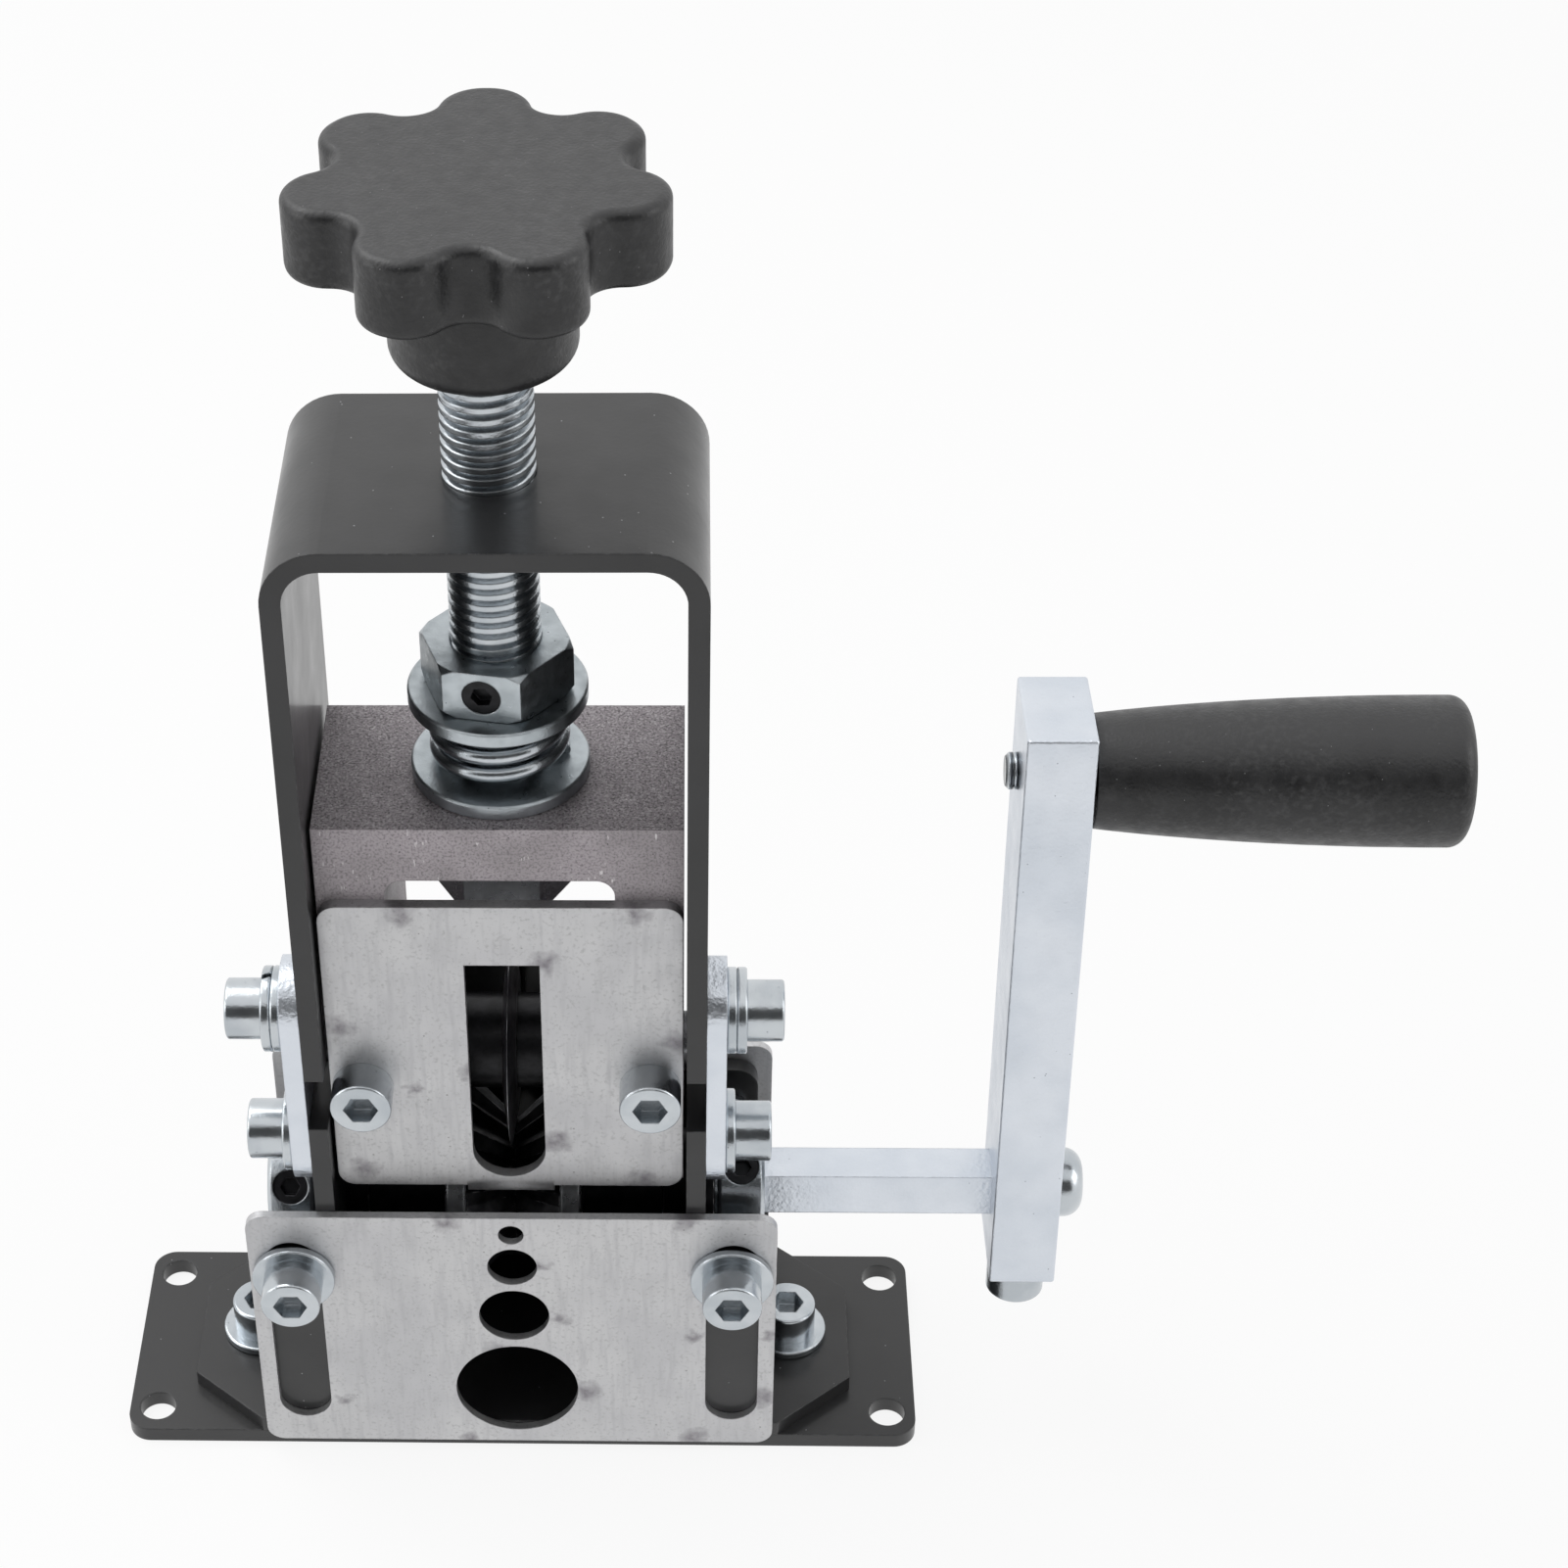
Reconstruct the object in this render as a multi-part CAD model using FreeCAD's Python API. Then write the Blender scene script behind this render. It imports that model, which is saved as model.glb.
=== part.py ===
"""Hand crank wire stripper: a bench tool that feeds a wire under a round blade.

Frame: millimetres, +X to the crank, +Y to the rear, +Z up.  The origin is the
centre of the base's four bolt holes, on the underside of the base.
Every sub-part is written to parts/<node>.step.
"""
import FreeCAD, Part
import math
import os

from FreeCAD import Rotation, Vector

# ---- base and lower bracket -------------------------------------------------
BASE_MARGIN = 11.5
BASE_D = 44.0
BASE_T = 3.0
BASE_CORNER_R = 4.0
BOLT_MARGIN = 5.0
BOLT_SPACING_Y = 33.0
BOLT_HOLE_R = 3.2
SHEET_T = 3.0
FOOT_OVERHANG = 26.0
FOOT_CHAMFER_X = 13.0
FOOT_CHAMFER_Y = 11.0
WALL_OVERHANG = 9.5
WALL_TOP_Z = 52.5
WALL_CORNER_R = 4.0
WIRE_GAP_W = 28.0
FOOT_SCREW_OUT = 15.0

# ---- upright frame ----------------------------------------------------------
FRAME_W = 65.0
FRAME_T = 3.2
FRAME_TOP_Z = 188.4
FRAME_BEND_R = 9.0
ENTRY_Z = 81.5
WAY_LOW_Z = 71.6
WAY_HIGH_Z = 92.6

# ---- side straps ------------------------------------------------------------
STRAP_CLIP_GAP = 0.5
STRAP_T = 3.2
STRAP_LENGTH = 44.0
STRAP_MID_Z = 83.2
STRAP_HOLE_LOW_Z = 69.5
STRAP_HOLE_HIGH_Z = 96.0

# ---- slotted guide plates ---------------------------------------------------
GUIDE_OVERHANG = 12.0
GUIDE_H = 55.0
GUIDE_T = 1.5
GUIDE_CORNER_R = 3.0
GUIDE_SLOT_SHIFT = 0.2
GUIDE_SLOT_W = 9.0
GUIDE_SLOT_MARGIN = 6.0
GUIDE_SCREW_OUT = 4.5
GUIDE_SCREW_Z = 44.0
FRONT_GUIDE_Z = 2.6
REAR_GUIDE_Z = 0.4
GUIDE_HOLES = ((13.5, 21.2), (31.8, 12.0), (43.5, 8.4), (51.1, 4.3))

# ---- feed roller, shaft and crank -------------------------------------------
SHAFT_Z = 44.1
SHAFT_R = 6.0
SQUARE_SIDE = 8.0
SHAFT_TAP_DEPTH = 12.0
ROLLER_ROOT_R = 10.6
ROLLER_WALL_GAP = 0.8
ROLLER_GROOVE_W = 15.8
ROLLER_TEETH = 20
ROLLER_VALLEY_RATIO = 0.9
FLANGE_T = 3.6
FLANGE_CHAMFER = 0.4
SLEEVE_R = 8.5
KEY_W = 4.0
KEY_H = 3.0
KEY_DEPTH = 2.2
BUSH_R = 9.0
BUSH_FLANGE_R = 12.0
BUSH_FLANGE_T = 1.5
BUSH_INNER_LENGTH = 4.0
THRUST_WASHER_R = 9.0
THRUST_WASHER_T = 0.6
COLLAR_R = 10.0
COLLAR_W = 8.0
COLLAR_CHAMFER = 0.6
LEFT_SET_ANGLE = 34.0
RIGHT_SET_ANGLE = 57.0
CRANK_LEAN = 5.0
BAR_LENGTH = 39.1
ARM_T = 11.2
ARM_W = 20.0
ARM_UP = 95.6
ARM_DOWN = 14.5
ARM_EDGE_R = 0.5
ARM_POCKET = 9.0
CLAMP_HEAD_OUT = 3.1
CRANK_RADIUS = 84.0
SPINDLE_R = 4.0
SPINDLE_THREAD_OUT = 2.1
SPINDLE_HEAD_R = 6.0
SPINDLE_HEAD_T = 3.0
GRIP_LENGTH = 58.5
GRIP_NECK_R = 9.2
GRIP_BODY_R = 12.1
GRIP_FLARE = ((0.0, 0.0), (0.2, 0.5), (0.55, 1.0), (0.9, 1.0))
GRIP_END_R = 2.6
GRIP_GAP = 0.5
GRIP_RECESS = 4.2

# ---- blade and its carriage -------------------------------------------------
BLADE_Z = 76.5
BLADE_R = 18.0
BLADE_T = 2.2
BLADE_BEVEL = 6.5
AXLE_R = 5.0
AXLE_OUT = 2.9
AXLE_CHAMFER = 0.4
CLIP_R = 6.5
CLIP_T = 1.0
CLIP_MOUTH_W = 6.0
CLIP_GROOVE_DEPTH = 0.8
SPACER_R = 8.0
CARRIAGE_SIDE_GAP = 0.5
CARRIAGE_D = 32.4
CARRIAGE_H = 73.9
CARRIAGE_DROP = 16.3
CARRIAGE_TOP_T = 10.1
CARRIAGE_LEG_W = 10.8
CARRIAGE_WINDOW_R = 3.0
COVER_INSET = 0.1
COVER_H = 60.0
COVER_T = 2.0
COVER_CORNER_R = 3.0
COVER_SLOT_W = 12.0
COVER_SLOT_LOW = 2.0
COVER_SLOT_HIGH = 48.2
COVER_LIP_W = 14.4
COVER_LIP_START = 1.2
COVER_LIP_BEND_R = 5.5
COVER_LIP_ANGLE = 50.0
COVER_SCREW_IN = 5.4
COVER_SCREW_UP = 22.4
COVER_SCREW_REACH = 7.0
REAR_COVER_H = 28.0
REAR_WEB_T = 1.0
REAR_GROOVE_W = 3.0
REAR_GROOVE_END = 1.2
BLADE_TIP_GAP = 0.4

# ---- pressure screw, nuts, washers, spring and knob --------------------------
SCREW_R = 7.0
SCREW_BELOW_NUT = 2.9
SCREW_CHAMFER = 1.0
NUT_AF = 21.0
NUT_CHAMFER = 0.9
LOWER_NUT_H = 11.0
UPPER_NUT_H = 8.5
UPPER_NUT_TURN = -10.5
DISC_WASHER_R = 14.0
DISC_WASHER_T = 2.5
DISC_WASHER_CHAMFER = 0.3
SPRING_R = 11.0
SPRING_WIRE = 2.6
SPRING_H = 11.3
SPRING_TURNS = 2.9
SPRING_GRIND = 0.52
KNOB_CLEAR = 17.6
KNOB_H = 12.0
KNOB_R = 27.5
KNOB_LOBES = 7
KNOB_VALLEY_R = 21.3
KNOB_VALLEY_CUT_R = 4.6
KNOB_LOBE_R = 6.6
KNOB_EDGE_R = 1.6
HUB_R = 13.75
HUB_H = 16.5
HUB_LIP_H = 1.8
HUB_EDGE_R = 3.2
HUB_LIP_R = 8.0
INSERT_R = 10.5
INSERT_H = 14.0
INSERT_COVER_T = 2.0
KNOB_CROWN_T = 4.0

# ---- standard fasteners ------------------------------------------------------
M6_R = 3.0
M6_HEAD_R = 5.0
M6_HEAD_H = 6.0
M6_HEAD_EDGE_R = 0.5
M6_SOCKET_AF = 5.0
M6_THREAD_CHAMFER = 0.6
M6_PAN_R = 6.0
M6_PAN_H = 4.6
M6_PAN_EDGE_R = 3.2
M6_PAN_SOCKET_AF = 4.0
M6_PAN_SOCKET_DEPTH = 2.5
SMALL_SOCKET_AF = 3.0
M6_WASHER_R = 7.0
M6_WASHER_T = 1.6
M6_WASHER_HOLE_R = 3.3
M6_WASHER_EDGE_R = 0.35
LOCK_CUT_W = 1.0
LOCK_CUT_ANGLE = 25.0

# ---- clearances --------------------------------------------------------------
THREAD_FIT = 0.05
RUN_FIT = 0.05
PLATE_GAP = 0.05
FACE_GAP = 0.1
SLIDE_GAP = 0.3
HOLE_GAP = 0.5
SCREW_TIP_GAP = 0.4
CUT_OVERRUN = 1.0
SAME = 1e-6

# ---- places worked out from the sizes above -----------------------------------
X_AXIS = Vector(1, 0, 0)
Y_AXIS = Vector(0, 1, 0)
Z_AXIS = Vector(0, 0, 1)
SIDES = (-1, 1)
FOOT_Z = BASE_T
FOOT_TOP_Z = FOOT_Z + SHEET_T
WALL_OUT_Y = BASE_D / 2
WALL_IN_Y = WALL_OUT_Y - SHEET_T
FRAME_D = BASE_D
LEG_OUT_X = FRAME_W / 2
LEG_IN_X = LEG_OUT_X - FRAME_T
WALL_W = FRAME_W + 2 * WALL_OVERHANG
FOOT_W = FRAME_W + 2 * FOOT_OVERHANG
FOOT_SCREW_X = LEG_OUT_X + FOOT_SCREW_OUT
BASE_W = FOOT_W + 2 * BASE_MARGIN
BOLT_SPACING_X = BASE_W - 2 * BOLT_MARGIN
GUIDE_W = FRAME_W + 2 * GUIDE_OVERHANG
GUIDE_SCREW_X = LEG_OUT_X + GUIDE_SCREW_OUT
GUIDE_SLOT_X = GUIDE_SCREW_X + GUIDE_SLOT_SHIFT
FRAME_FRONT_Y = -FRAME_D / 2
STRAP_OUT_X = LEG_OUT_X + STRAP_T
STRAP_W = FRAME_D / 2 - CLIP_R - STRAP_CLIP_GAP
STRAP_Y = FRAME_FRONT_Y + STRAP_W / 2
GUIDE_IN_Y = WALL_OUT_Y + PLATE_GAP
GUIDE_WASHER_Y = GUIDE_IN_Y + GUIDE_T + PLATE_GAP
BUSH_OUT_X = LEG_OUT_X + BUSH_FLANGE_T
COLLAR_IN_X = BUSH_OUT_X + FACE_GAP + THRUST_WASHER_T
COLLAR_OUT_X = COLLAR_IN_X + COLLAR_W
ROLLER_RIM_R = WALL_IN_Y - ROLLER_WALL_GAP
SLEEVE_OUT_X = LEG_IN_X - BUSH_INNER_LENGTH - FACE_GAP
KEY_LENGTH = ROLLER_GROOVE_W - 2 * FACE_GAP
SLOT_R = AXLE_R + SLIDE_GAP
AXLE_LENGTH = FRAME_W + 2 * AXLE_OUT
CARRIAGE_W = 2 * (LEG_IN_X - CARRIAGE_SIDE_GAP)
CARRIAGE_WINDOW_W = CARRIAGE_W - 2 * CARRIAGE_LEG_W
CARRIAGE_LOW_Z = BLADE_Z - CARRIAGE_DROP
CARRIAGE_TOP_Z = CARRIAGE_LOW_Z + CARRIAGE_H
COVER_W = CARRIAGE_W - 2 * COVER_INSET
COVER_SCREW_X = CARRIAGE_W / 2 - COVER_SCREW_IN
COVER_SCREW_Z = CARRIAGE_LOW_Z + COVER_SCREW_UP
COVER_IN_Y = -CARRIAGE_D / 2
COVER_OUT_Y = COVER_IN_Y - COVER_T
BLADE_REAR_RISE = math.sqrt(max(0.0, BLADE_R ** 2 - COVER_IN_Y ** 2))
REAR_IN_Y = CARRIAGE_D / 2
REAR_WEB_Y = BLADE_R + BLADE_TIP_GAP
REAR_COVER_T = max(COVER_T, REAR_WEB_Y + REAR_WEB_T - REAR_IN_Y)
ARM_X = COLLAR_OUT_X + BAR_LENGTH
ARM_OUT_X = ARM_X + ARM_T
GRIP_X = ARM_OUT_X + GRIP_GAP
GRIP_END_X = GRIP_X + GRIP_LENGTH
SPINDLE_HEAD_X = GRIP_END_X - GRIP_RECESS + FACE_GAP
LOWER_WASHER_Z = CARRIAGE_TOP_Z
SPRING_Z = LOWER_WASHER_Z + DISC_WASHER_T
UPPER_WASHER_Z = SPRING_Z + SPRING_H
UPPER_NUT_Z = UPPER_WASHER_Z + DISC_WASHER_T + FACE_GAP
LOWER_NUT_Z = CARRIAGE_TOP_Z - CARRIAGE_TOP_T - FACE_GAP - LOWER_NUT_H
SCREW_LOW_Z = LOWER_NUT_Z - SCREW_BELOW_NUT
KNOB_LOW_Z = FRAME_TOP_Z + KNOB_CLEAR
HUB_LOW_Z = KNOB_LOW_Z + HUB_LIP_H
KNOB_RIM_Z = HUB_LOW_Z + HUB_H
KNOB_TOP_Z = KNOB_RIM_Z + KNOB_H
SCREW_TOP_Z = KNOB_TOP_Z - KNOB_CROWN_T


# ---- building blocks -----------------------------------------------------------
def block(x0, x1, y0, y1, z0, z1):
    """Box between two corners."""
    return Part.makeBox(x1 - x0, y1 - y0, z1 - z0, Vector(x0, y0, z0))


def rod(radius, start, axis, length):
    """Solid cylinder that starts at a point and runs along an axis."""
    return Part.makeCylinder(radius, length, start, axis)


def tube(outer_r, inner_r, start, axis, length):
    """Hollow cylinder."""
    return rod(outer_r, start, axis, length).cut(rod(inner_r, start, axis, length))


def hexagon(across_flats, height):
    """Hexagonal prism on the Z axis, with two flats facing the front and rear."""
    corner_r = across_flats / math.sqrt(3)
    corners = [Vector(corner_r * math.cos(math.radians(60 * i)),
                      corner_r * math.sin(math.radians(60 * i)), 0) for i in range(7)]
    return Part.Face(Part.makePolygon(corners)).extrude(Vector(0, 0, height))


def seated(shape, at, outward):
    """Move a shape built on the Z axis to a seat, with its +Z turned outward."""
    placed = shape.copy()
    placed.Placement = FreeCAD.Placement(at, Rotation(Z_AXIS, outward))
    return placed


def edges_along(shape, axis):
    """Straight edges of a shape that run along an axis."""
    found = []
    for edge in shape.Edges:
        span = edge.Vertexes[-1].Point - edge.Vertexes[0].Point
        if span.Length > SAME and isinstance(edge.Curve, Part.Line):
            if abs(abs(span.normalize().dot(axis)) - 1) < SAME:
                found.append(edge)
    return found


def rims_of(shape, radius):
    """Circular edges of a turned shape that have a radius."""
    return [e for e in shape.Edges
            if isinstance(e.Curve, Part.Circle) and abs(e.Curve.Radius - radius) < SAME]


def rounded_plate(width, height, thickness, corner_r):
    """Plate in the XZ plane, centred on X, from Z = 0, with its thickness along +Y."""
    plate = block(-width / 2, width / 2, 0, thickness, 0, height)
    return plate.makeFillet(corner_r, edges_along(plate, Y_AXIS))


def slot_z(x, half_w, z0, z1, y0, y1):
    """Upright slot with round ends, cut along Y."""
    body = block(x - half_w, x + half_w, y0, y1, z0 + half_w, z1 - half_w)
    for z in (z0 + half_w, z1 - half_w):
        body = body.fuse(rod(half_w, Vector(x, y0, z), Y_AXIS, y1 - y0))
    return body


def about_shaft(shape):
    """Lean a shape back about the feed shaft, as the resting crank leans."""
    turned = shape.copy()
    turned.rotate(Vector(0, 0, SHAFT_Z), X_AXIS, -CRANK_LEAN)
    return turned


# ---- standard fasteners ---------------------------------------------------------
def cap_screw(reach):
    """M6 socket head cap screw on Z: the head is above Z = 0, the shank below it."""
    head = rod(M6_HEAD_R, Vector(0, 0, 0), Z_AXIS, M6_HEAD_H)
    rim = [e for e in rims_of(head, M6_HEAD_R) if e.Curve.Center.z > M6_HEAD_H / 2]
    head = head.makeFillet(M6_HEAD_EDGE_R, rim)
    socket = hexagon(M6_SOCKET_AF, M6_HEAD_H / 2)
    socket.translate(Vector(0, 0, M6_HEAD_H / 2))
    return head.cut(socket).fuse(rod(M6_R, Vector(0, 0, -reach), Z_AXIS, reach))


def pan_screw(reach):
    """M6 pan head screw on Z: a rounded head above Z = 0, the shank below it."""
    head = rod(M6_PAN_R, Vector(0, 0, 0), Z_AXIS, M6_PAN_H)
    rim = [e for e in rims_of(head, M6_PAN_R) if e.Curve.Center.z > M6_PAN_H / 2]
    head = head.makeFillet(M6_PAN_EDGE_R, rim)
    socket = hexagon(M6_PAN_SOCKET_AF, M6_PAN_SOCKET_DEPTH)
    socket.translate(Vector(0, 0, M6_PAN_H - M6_PAN_SOCKET_DEPTH))
    return head.cut(socket).fuse(rod(M6_R, Vector(0, 0, -reach), Z_AXIS, reach))


def set_screw(length):
    """M6 headless set screw on Z, its socket end at Z = 0 and its tip below."""
    body = rod(M6_R, Vector(0, 0, -length), Z_AXIS, length)
    socket = hexagon(SMALL_SOCKET_AF, length / 2)
    socket.translate(Vector(0, 0, -length / 2))
    return body.cut(socket)


def flat_washer():
    """M6 washer on Z, with its lower face at Z = 0."""
    ring = tube(M6_WASHER_R, M6_WASHER_HOLE_R, Vector(0, 0, 0), Z_AXIS, M6_WASHER_T)
    return ring.makeFillet(M6_WASHER_EDGE_R, rims_of(ring, M6_WASHER_R))


def lock_washer():
    """M6 split lock washer on Z, the ends parted by a slanting cut."""
    ring = flat_washer()
    split = block(0, M6_WASHER_R + CUT_OVERRUN, -LOCK_CUT_W / 2, LOCK_CUT_W / 2,
                  -CUT_OVERRUN, M6_WASHER_T + CUT_OVERRUN)
    split.rotate(Vector(0, 0, M6_WASHER_T / 2), X_AXIS, LOCK_CUT_ANGLE)
    return ring.cut(split)


def hex_nut(height):
    """M14 nut on Z from Z = 0, its corners turned down at both ends."""
    corner_r = NUT_AF / math.sqrt(3)
    turned = rod(corner_r, Vector(0, 0, 0), Z_AXIS, height)
    turned = turned.makeChamfer(NUT_CHAMFER, rims_of(turned, corner_r))
    body = hexagon(NUT_AF, height).common(turned)
    return body.cut(rod(SCREW_R + THREAD_FIT, Vector(0, 0, 0), Z_AXIS, height))


def disc_washer(z):
    """M14 washer on the pressure screw."""
    ring = tube(DISC_WASHER_R, SCREW_R + HOLE_GAP, Vector(0, 0, z), Z_AXIS, DISC_WASHER_T)
    return ring.makeChamfer(DISC_WASHER_CHAMFER, rims_of(ring, DISC_WASHER_R))


def pair(maker):
    """The same piece made on the left and on the right."""
    return Part.makeCompound([maker(side) for side in SIDES])


# ---- base and lower bracket -------------------------------------------------------
def base_plate():
    plate = block(-BASE_W / 2, BASE_W / 2, -BASE_D / 2, BASE_D / 2, 0, BASE_T)
    plate = plate.makeFillet(BASE_CORNER_R, edges_along(plate, Z_AXIS))
    for x in (-BOLT_SPACING_X / 2, BOLT_SPACING_X / 2):
        for y in (-BOLT_SPACING_Y / 2, BOLT_SPACING_Y / 2):
            plate = plate.cut(rod(BOLT_HOLE_R, Vector(x, y, 0), Z_AXIS, BASE_T))
    for side in SIDES:
        hole = rod(M6_R + THREAD_FIT, Vector(side * FOOT_SCREW_X, 0, 0), Z_AXIS, BASE_T)
        plate = plate.cut(hole)
    return plate


def bracket_walls():
    """Front wall in two halves either side of the wire gap, and a whole rear wall."""
    half_w = WALL_W / 2
    half_gap = WIRE_GAP_W / 2
    walls = []
    for x0, x1, y0 in ((-half_w, -half_gap, -WALL_OUT_Y), (half_gap, half_w, -WALL_OUT_Y),
                       (-half_w, half_w, WALL_IN_Y)):
        wall = block(x0, x1, y0, y0 + SHEET_T, FOOT_Z, WALL_TOP_Z)
        top = [e for e in edges_along(wall, Y_AXIS) if e.CenterOfMass.z > FOOT_TOP_Z]
        wall = wall.makeFillet(WALL_CORNER_R, top)
        for side in SIDES:
            hole_start = Vector(side * GUIDE_SCREW_X, y0, GUIDE_SCREW_Z)
            wall = wall.cut(rod(M6_R + THREAD_FIT, hole_start, Y_AXIS, SHEET_T))
        walls.append(wall)
    return walls


def lower_bracket():
    half_w = FOOT_W / 2
    half_d = BASE_D / 2
    corners = [(-half_w + FOOT_CHAMFER_X, -half_d), (half_w - FOOT_CHAMFER_X, -half_d),
               (half_w, -half_d + FOOT_CHAMFER_Y), (half_w, half_d - FOOT_CHAMFER_Y),
               (half_w - FOOT_CHAMFER_X, half_d), (-half_w + FOOT_CHAMFER_X, half_d),
               (-half_w, half_d - FOOT_CHAMFER_Y), (-half_w, -half_d + FOOT_CHAMFER_Y)]
    ring = [Vector(x, y, FOOT_Z) for x, y in corners]
    foot = Part.Face(Part.makePolygon(ring + ring[:1])).extrude(Vector(0, 0, SHEET_T))
    for side in SIDES:
        hole_start = Vector(side * FOOT_SCREW_X, 0, FOOT_Z)
        foot = foot.cut(rod(M6_R + THREAD_FIT, hole_start, Z_AXIS, SHEET_T))
    for wall in bracket_walls():
        foot = foot.fuse(wall)
    return foot.removeSplitter()


def base_screws():
    reach = M6_WASHER_T + SHEET_T + BASE_T - SCREW_TIP_GAP
    seat_z = FOOT_TOP_Z + M6_WASHER_T
    return pair(lambda side: seated(cap_screw(reach), Vector(side * FOOT_SCREW_X, 0, seat_z), Z_AXIS))


def base_washers():
    return pair(lambda side: seated(flat_washer(), Vector(side * FOOT_SCREW_X, 0, FOOT_TOP_Z), Z_AXIS))


# ---- upright frame ---------------------------------------------------------------
def frame_outline():
    """Bent strip: the outer arch less the inner arch."""
    outer = block(-LEG_OUT_X, LEG_OUT_X, FRAME_FRONT_Y, -FRAME_FRONT_Y, FOOT_TOP_Z, FRAME_TOP_Z)
    top = [e for e in edges_along(outer, Y_AXIS) if e.CenterOfMass.z > ENTRY_Z]
    outer = outer.makeFillet(FRAME_BEND_R, top)
    inner = block(-LEG_IN_X, LEG_IN_X, FRAME_FRONT_Y, -FRAME_FRONT_Y,
                  FOOT_TOP_Z, FRAME_TOP_Z - FRAME_T)
    top = [e for e in edges_along(inner, Y_AXIS) if e.CenterOfMass.z > ENTRY_Z]
    return outer.cut(inner.makeFillet(FRAME_BEND_R - FRAME_T, top))


def axle_way():
    """Upright way for the blade axle, with a side entry from the front edge."""
    span = FRAME_W + 2 * CUT_OVERRUN
    way = block(-span / 2, span / 2, -SLOT_R, SLOT_R, WAY_LOW_Z, WAY_HIGH_Z)
    for z in (WAY_LOW_Z, WAY_HIGH_Z):
        way = way.fuse(rod(SLOT_R, Vector(-span / 2, 0, z), X_AXIS, span))
    entry = block(-span / 2, span / 2, FRAME_FRONT_Y, 0, ENTRY_Z - SLOT_R, ENTRY_Z + SLOT_R)
    return way.fuse(entry)


def u_frame():
    frame = frame_outline().cut(axle_way())
    span = FRAME_W + 2 * CUT_OVERRUN
    for front in SIDES:
        y0 = min(front * (WALL_IN_Y - FACE_GAP), front * FRAME_D / 2)
        width = FRAME_D / 2 - WALL_IN_Y + FACE_GAP
        frame = frame.cut(block(-span / 2, span / 2, y0, y0 + width, FOOT_TOP_Z, WALL_TOP_Z))
    frame = frame.cut(rod(BUSH_R + THREAD_FIT, Vector(-span / 2, 0, SHAFT_Z), X_AXIS, span))
    for z in (STRAP_HOLE_LOW_Z, STRAP_HOLE_HIGH_Z):
        frame = frame.cut(rod(M6_R + THREAD_FIT, Vector(-span / 2, STRAP_Y, z), X_AXIS, span))
    screw_hole = rod(SCREW_R + RUN_FIT, Vector(0, 0, FRAME_TOP_Z - FRAME_T), Z_AXIS, FRAME_T)
    return frame.cut(screw_hole)


# ---- side straps -----------------------------------------------------------------
def strap(side):
    """Round-ended bar that closes the axle's side entry."""
    end_r = STRAP_W / 2
    reach = STRAP_LENGTH / 2 - end_r
    x0 = min(side * LEG_OUT_X, side * STRAP_OUT_X)
    body = block(x0, x0 + STRAP_T, STRAP_Y - end_r, STRAP_Y + end_r,
                 STRAP_MID_Z - reach, STRAP_MID_Z + reach)
    for z in (STRAP_MID_Z - reach, STRAP_MID_Z + reach):
        body = body.fuse(rod(end_r, Vector(x0, STRAP_Y, z), X_AXIS, STRAP_T))
    for z in (STRAP_HOLE_LOW_Z, STRAP_HOLE_HIGH_Z):
        body = body.cut(rod(M6_R + THREAD_FIT, Vector(x0, STRAP_Y, z), X_AXIS, STRAP_T))
    return body.removeSplitter()


def strap_seat(side, z, washers):
    """Seat on a strap, on top of a number of washers."""
    return Vector(side * (STRAP_OUT_X + washers * M6_WASHER_T), STRAP_Y, z)


def strap_screw(side, z, washers):
    reach = FRAME_T + STRAP_T + washers * M6_WASHER_T - THREAD_FIT
    return seated(cap_screw(reach), strap_seat(side, z, washers), Vector(side, 0, 0))


def strap_upper_screws():
    return pair(lambda side: strap_screw(side, STRAP_HOLE_HIGH_Z, 2))


def strap_flat_washers():
    return pair(lambda side: seated(flat_washer(), strap_seat(side, STRAP_HOLE_HIGH_Z, 0),
                                    Vector(side, 0, 0)))


def strap_lock_washers():
    return pair(lambda side: seated(lock_washer(), strap_seat(side, STRAP_HOLE_HIGH_Z, 1),
                                    Vector(side, 0, 0)))


def strap_lower_screws():
    return pair(lambda side: strap_screw(side, STRAP_HOLE_LOW_Z, 1))


def strap_lower_washers():
    return pair(lambda side: seated(flat_washer(), strap_seat(side, STRAP_HOLE_LOW_Z, 0),
                                    Vector(side, 0, 0)))


# ---- guide plates ----------------------------------------------------------------
def guide_plate(front, low_z, holes):
    """Plate with a slot at each end and wire holes on its centre line."""
    plate = rounded_plate(GUIDE_W, GUIDE_H, GUIDE_T, GUIDE_CORNER_R)
    for height, diameter in holes:
        plate = plate.cut(rod(diameter / 2, Vector(0, 0, height), Y_AXIS, GUIDE_T))
    for side in SIDES:
        plate = plate.cut(slot_z(side * GUIDE_SLOT_X, GUIDE_SLOT_W / 2, GUIDE_SLOT_MARGIN,
                                 GUIDE_H - GUIDE_SLOT_MARGIN, 0, GUIDE_T))
    y0 = GUIDE_IN_Y if front > 0 else -GUIDE_IN_Y - GUIDE_T
    plate.translate(Vector(0, y0, low_z))
    return plate


def guide_seat(side, front, washers):
    y = front * (GUIDE_WASHER_Y + washers * M6_WASHER_T)
    return Vector(side * GUIDE_SCREW_X, y, GUIDE_SCREW_Z)


def guide_screws(front):
    reach = GUIDE_WASHER_Y + M6_WASHER_T - WALL_IN_Y + SHEET_T / 2
    return pair(lambda side: seated(cap_screw(reach), guide_seat(side, front, 1), Vector(0, front, 0)))


def guide_washers(front):
    return pair(lambda side: seated(flat_washer(), guide_seat(side, front, 0), Vector(0, front, 0)))


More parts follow.
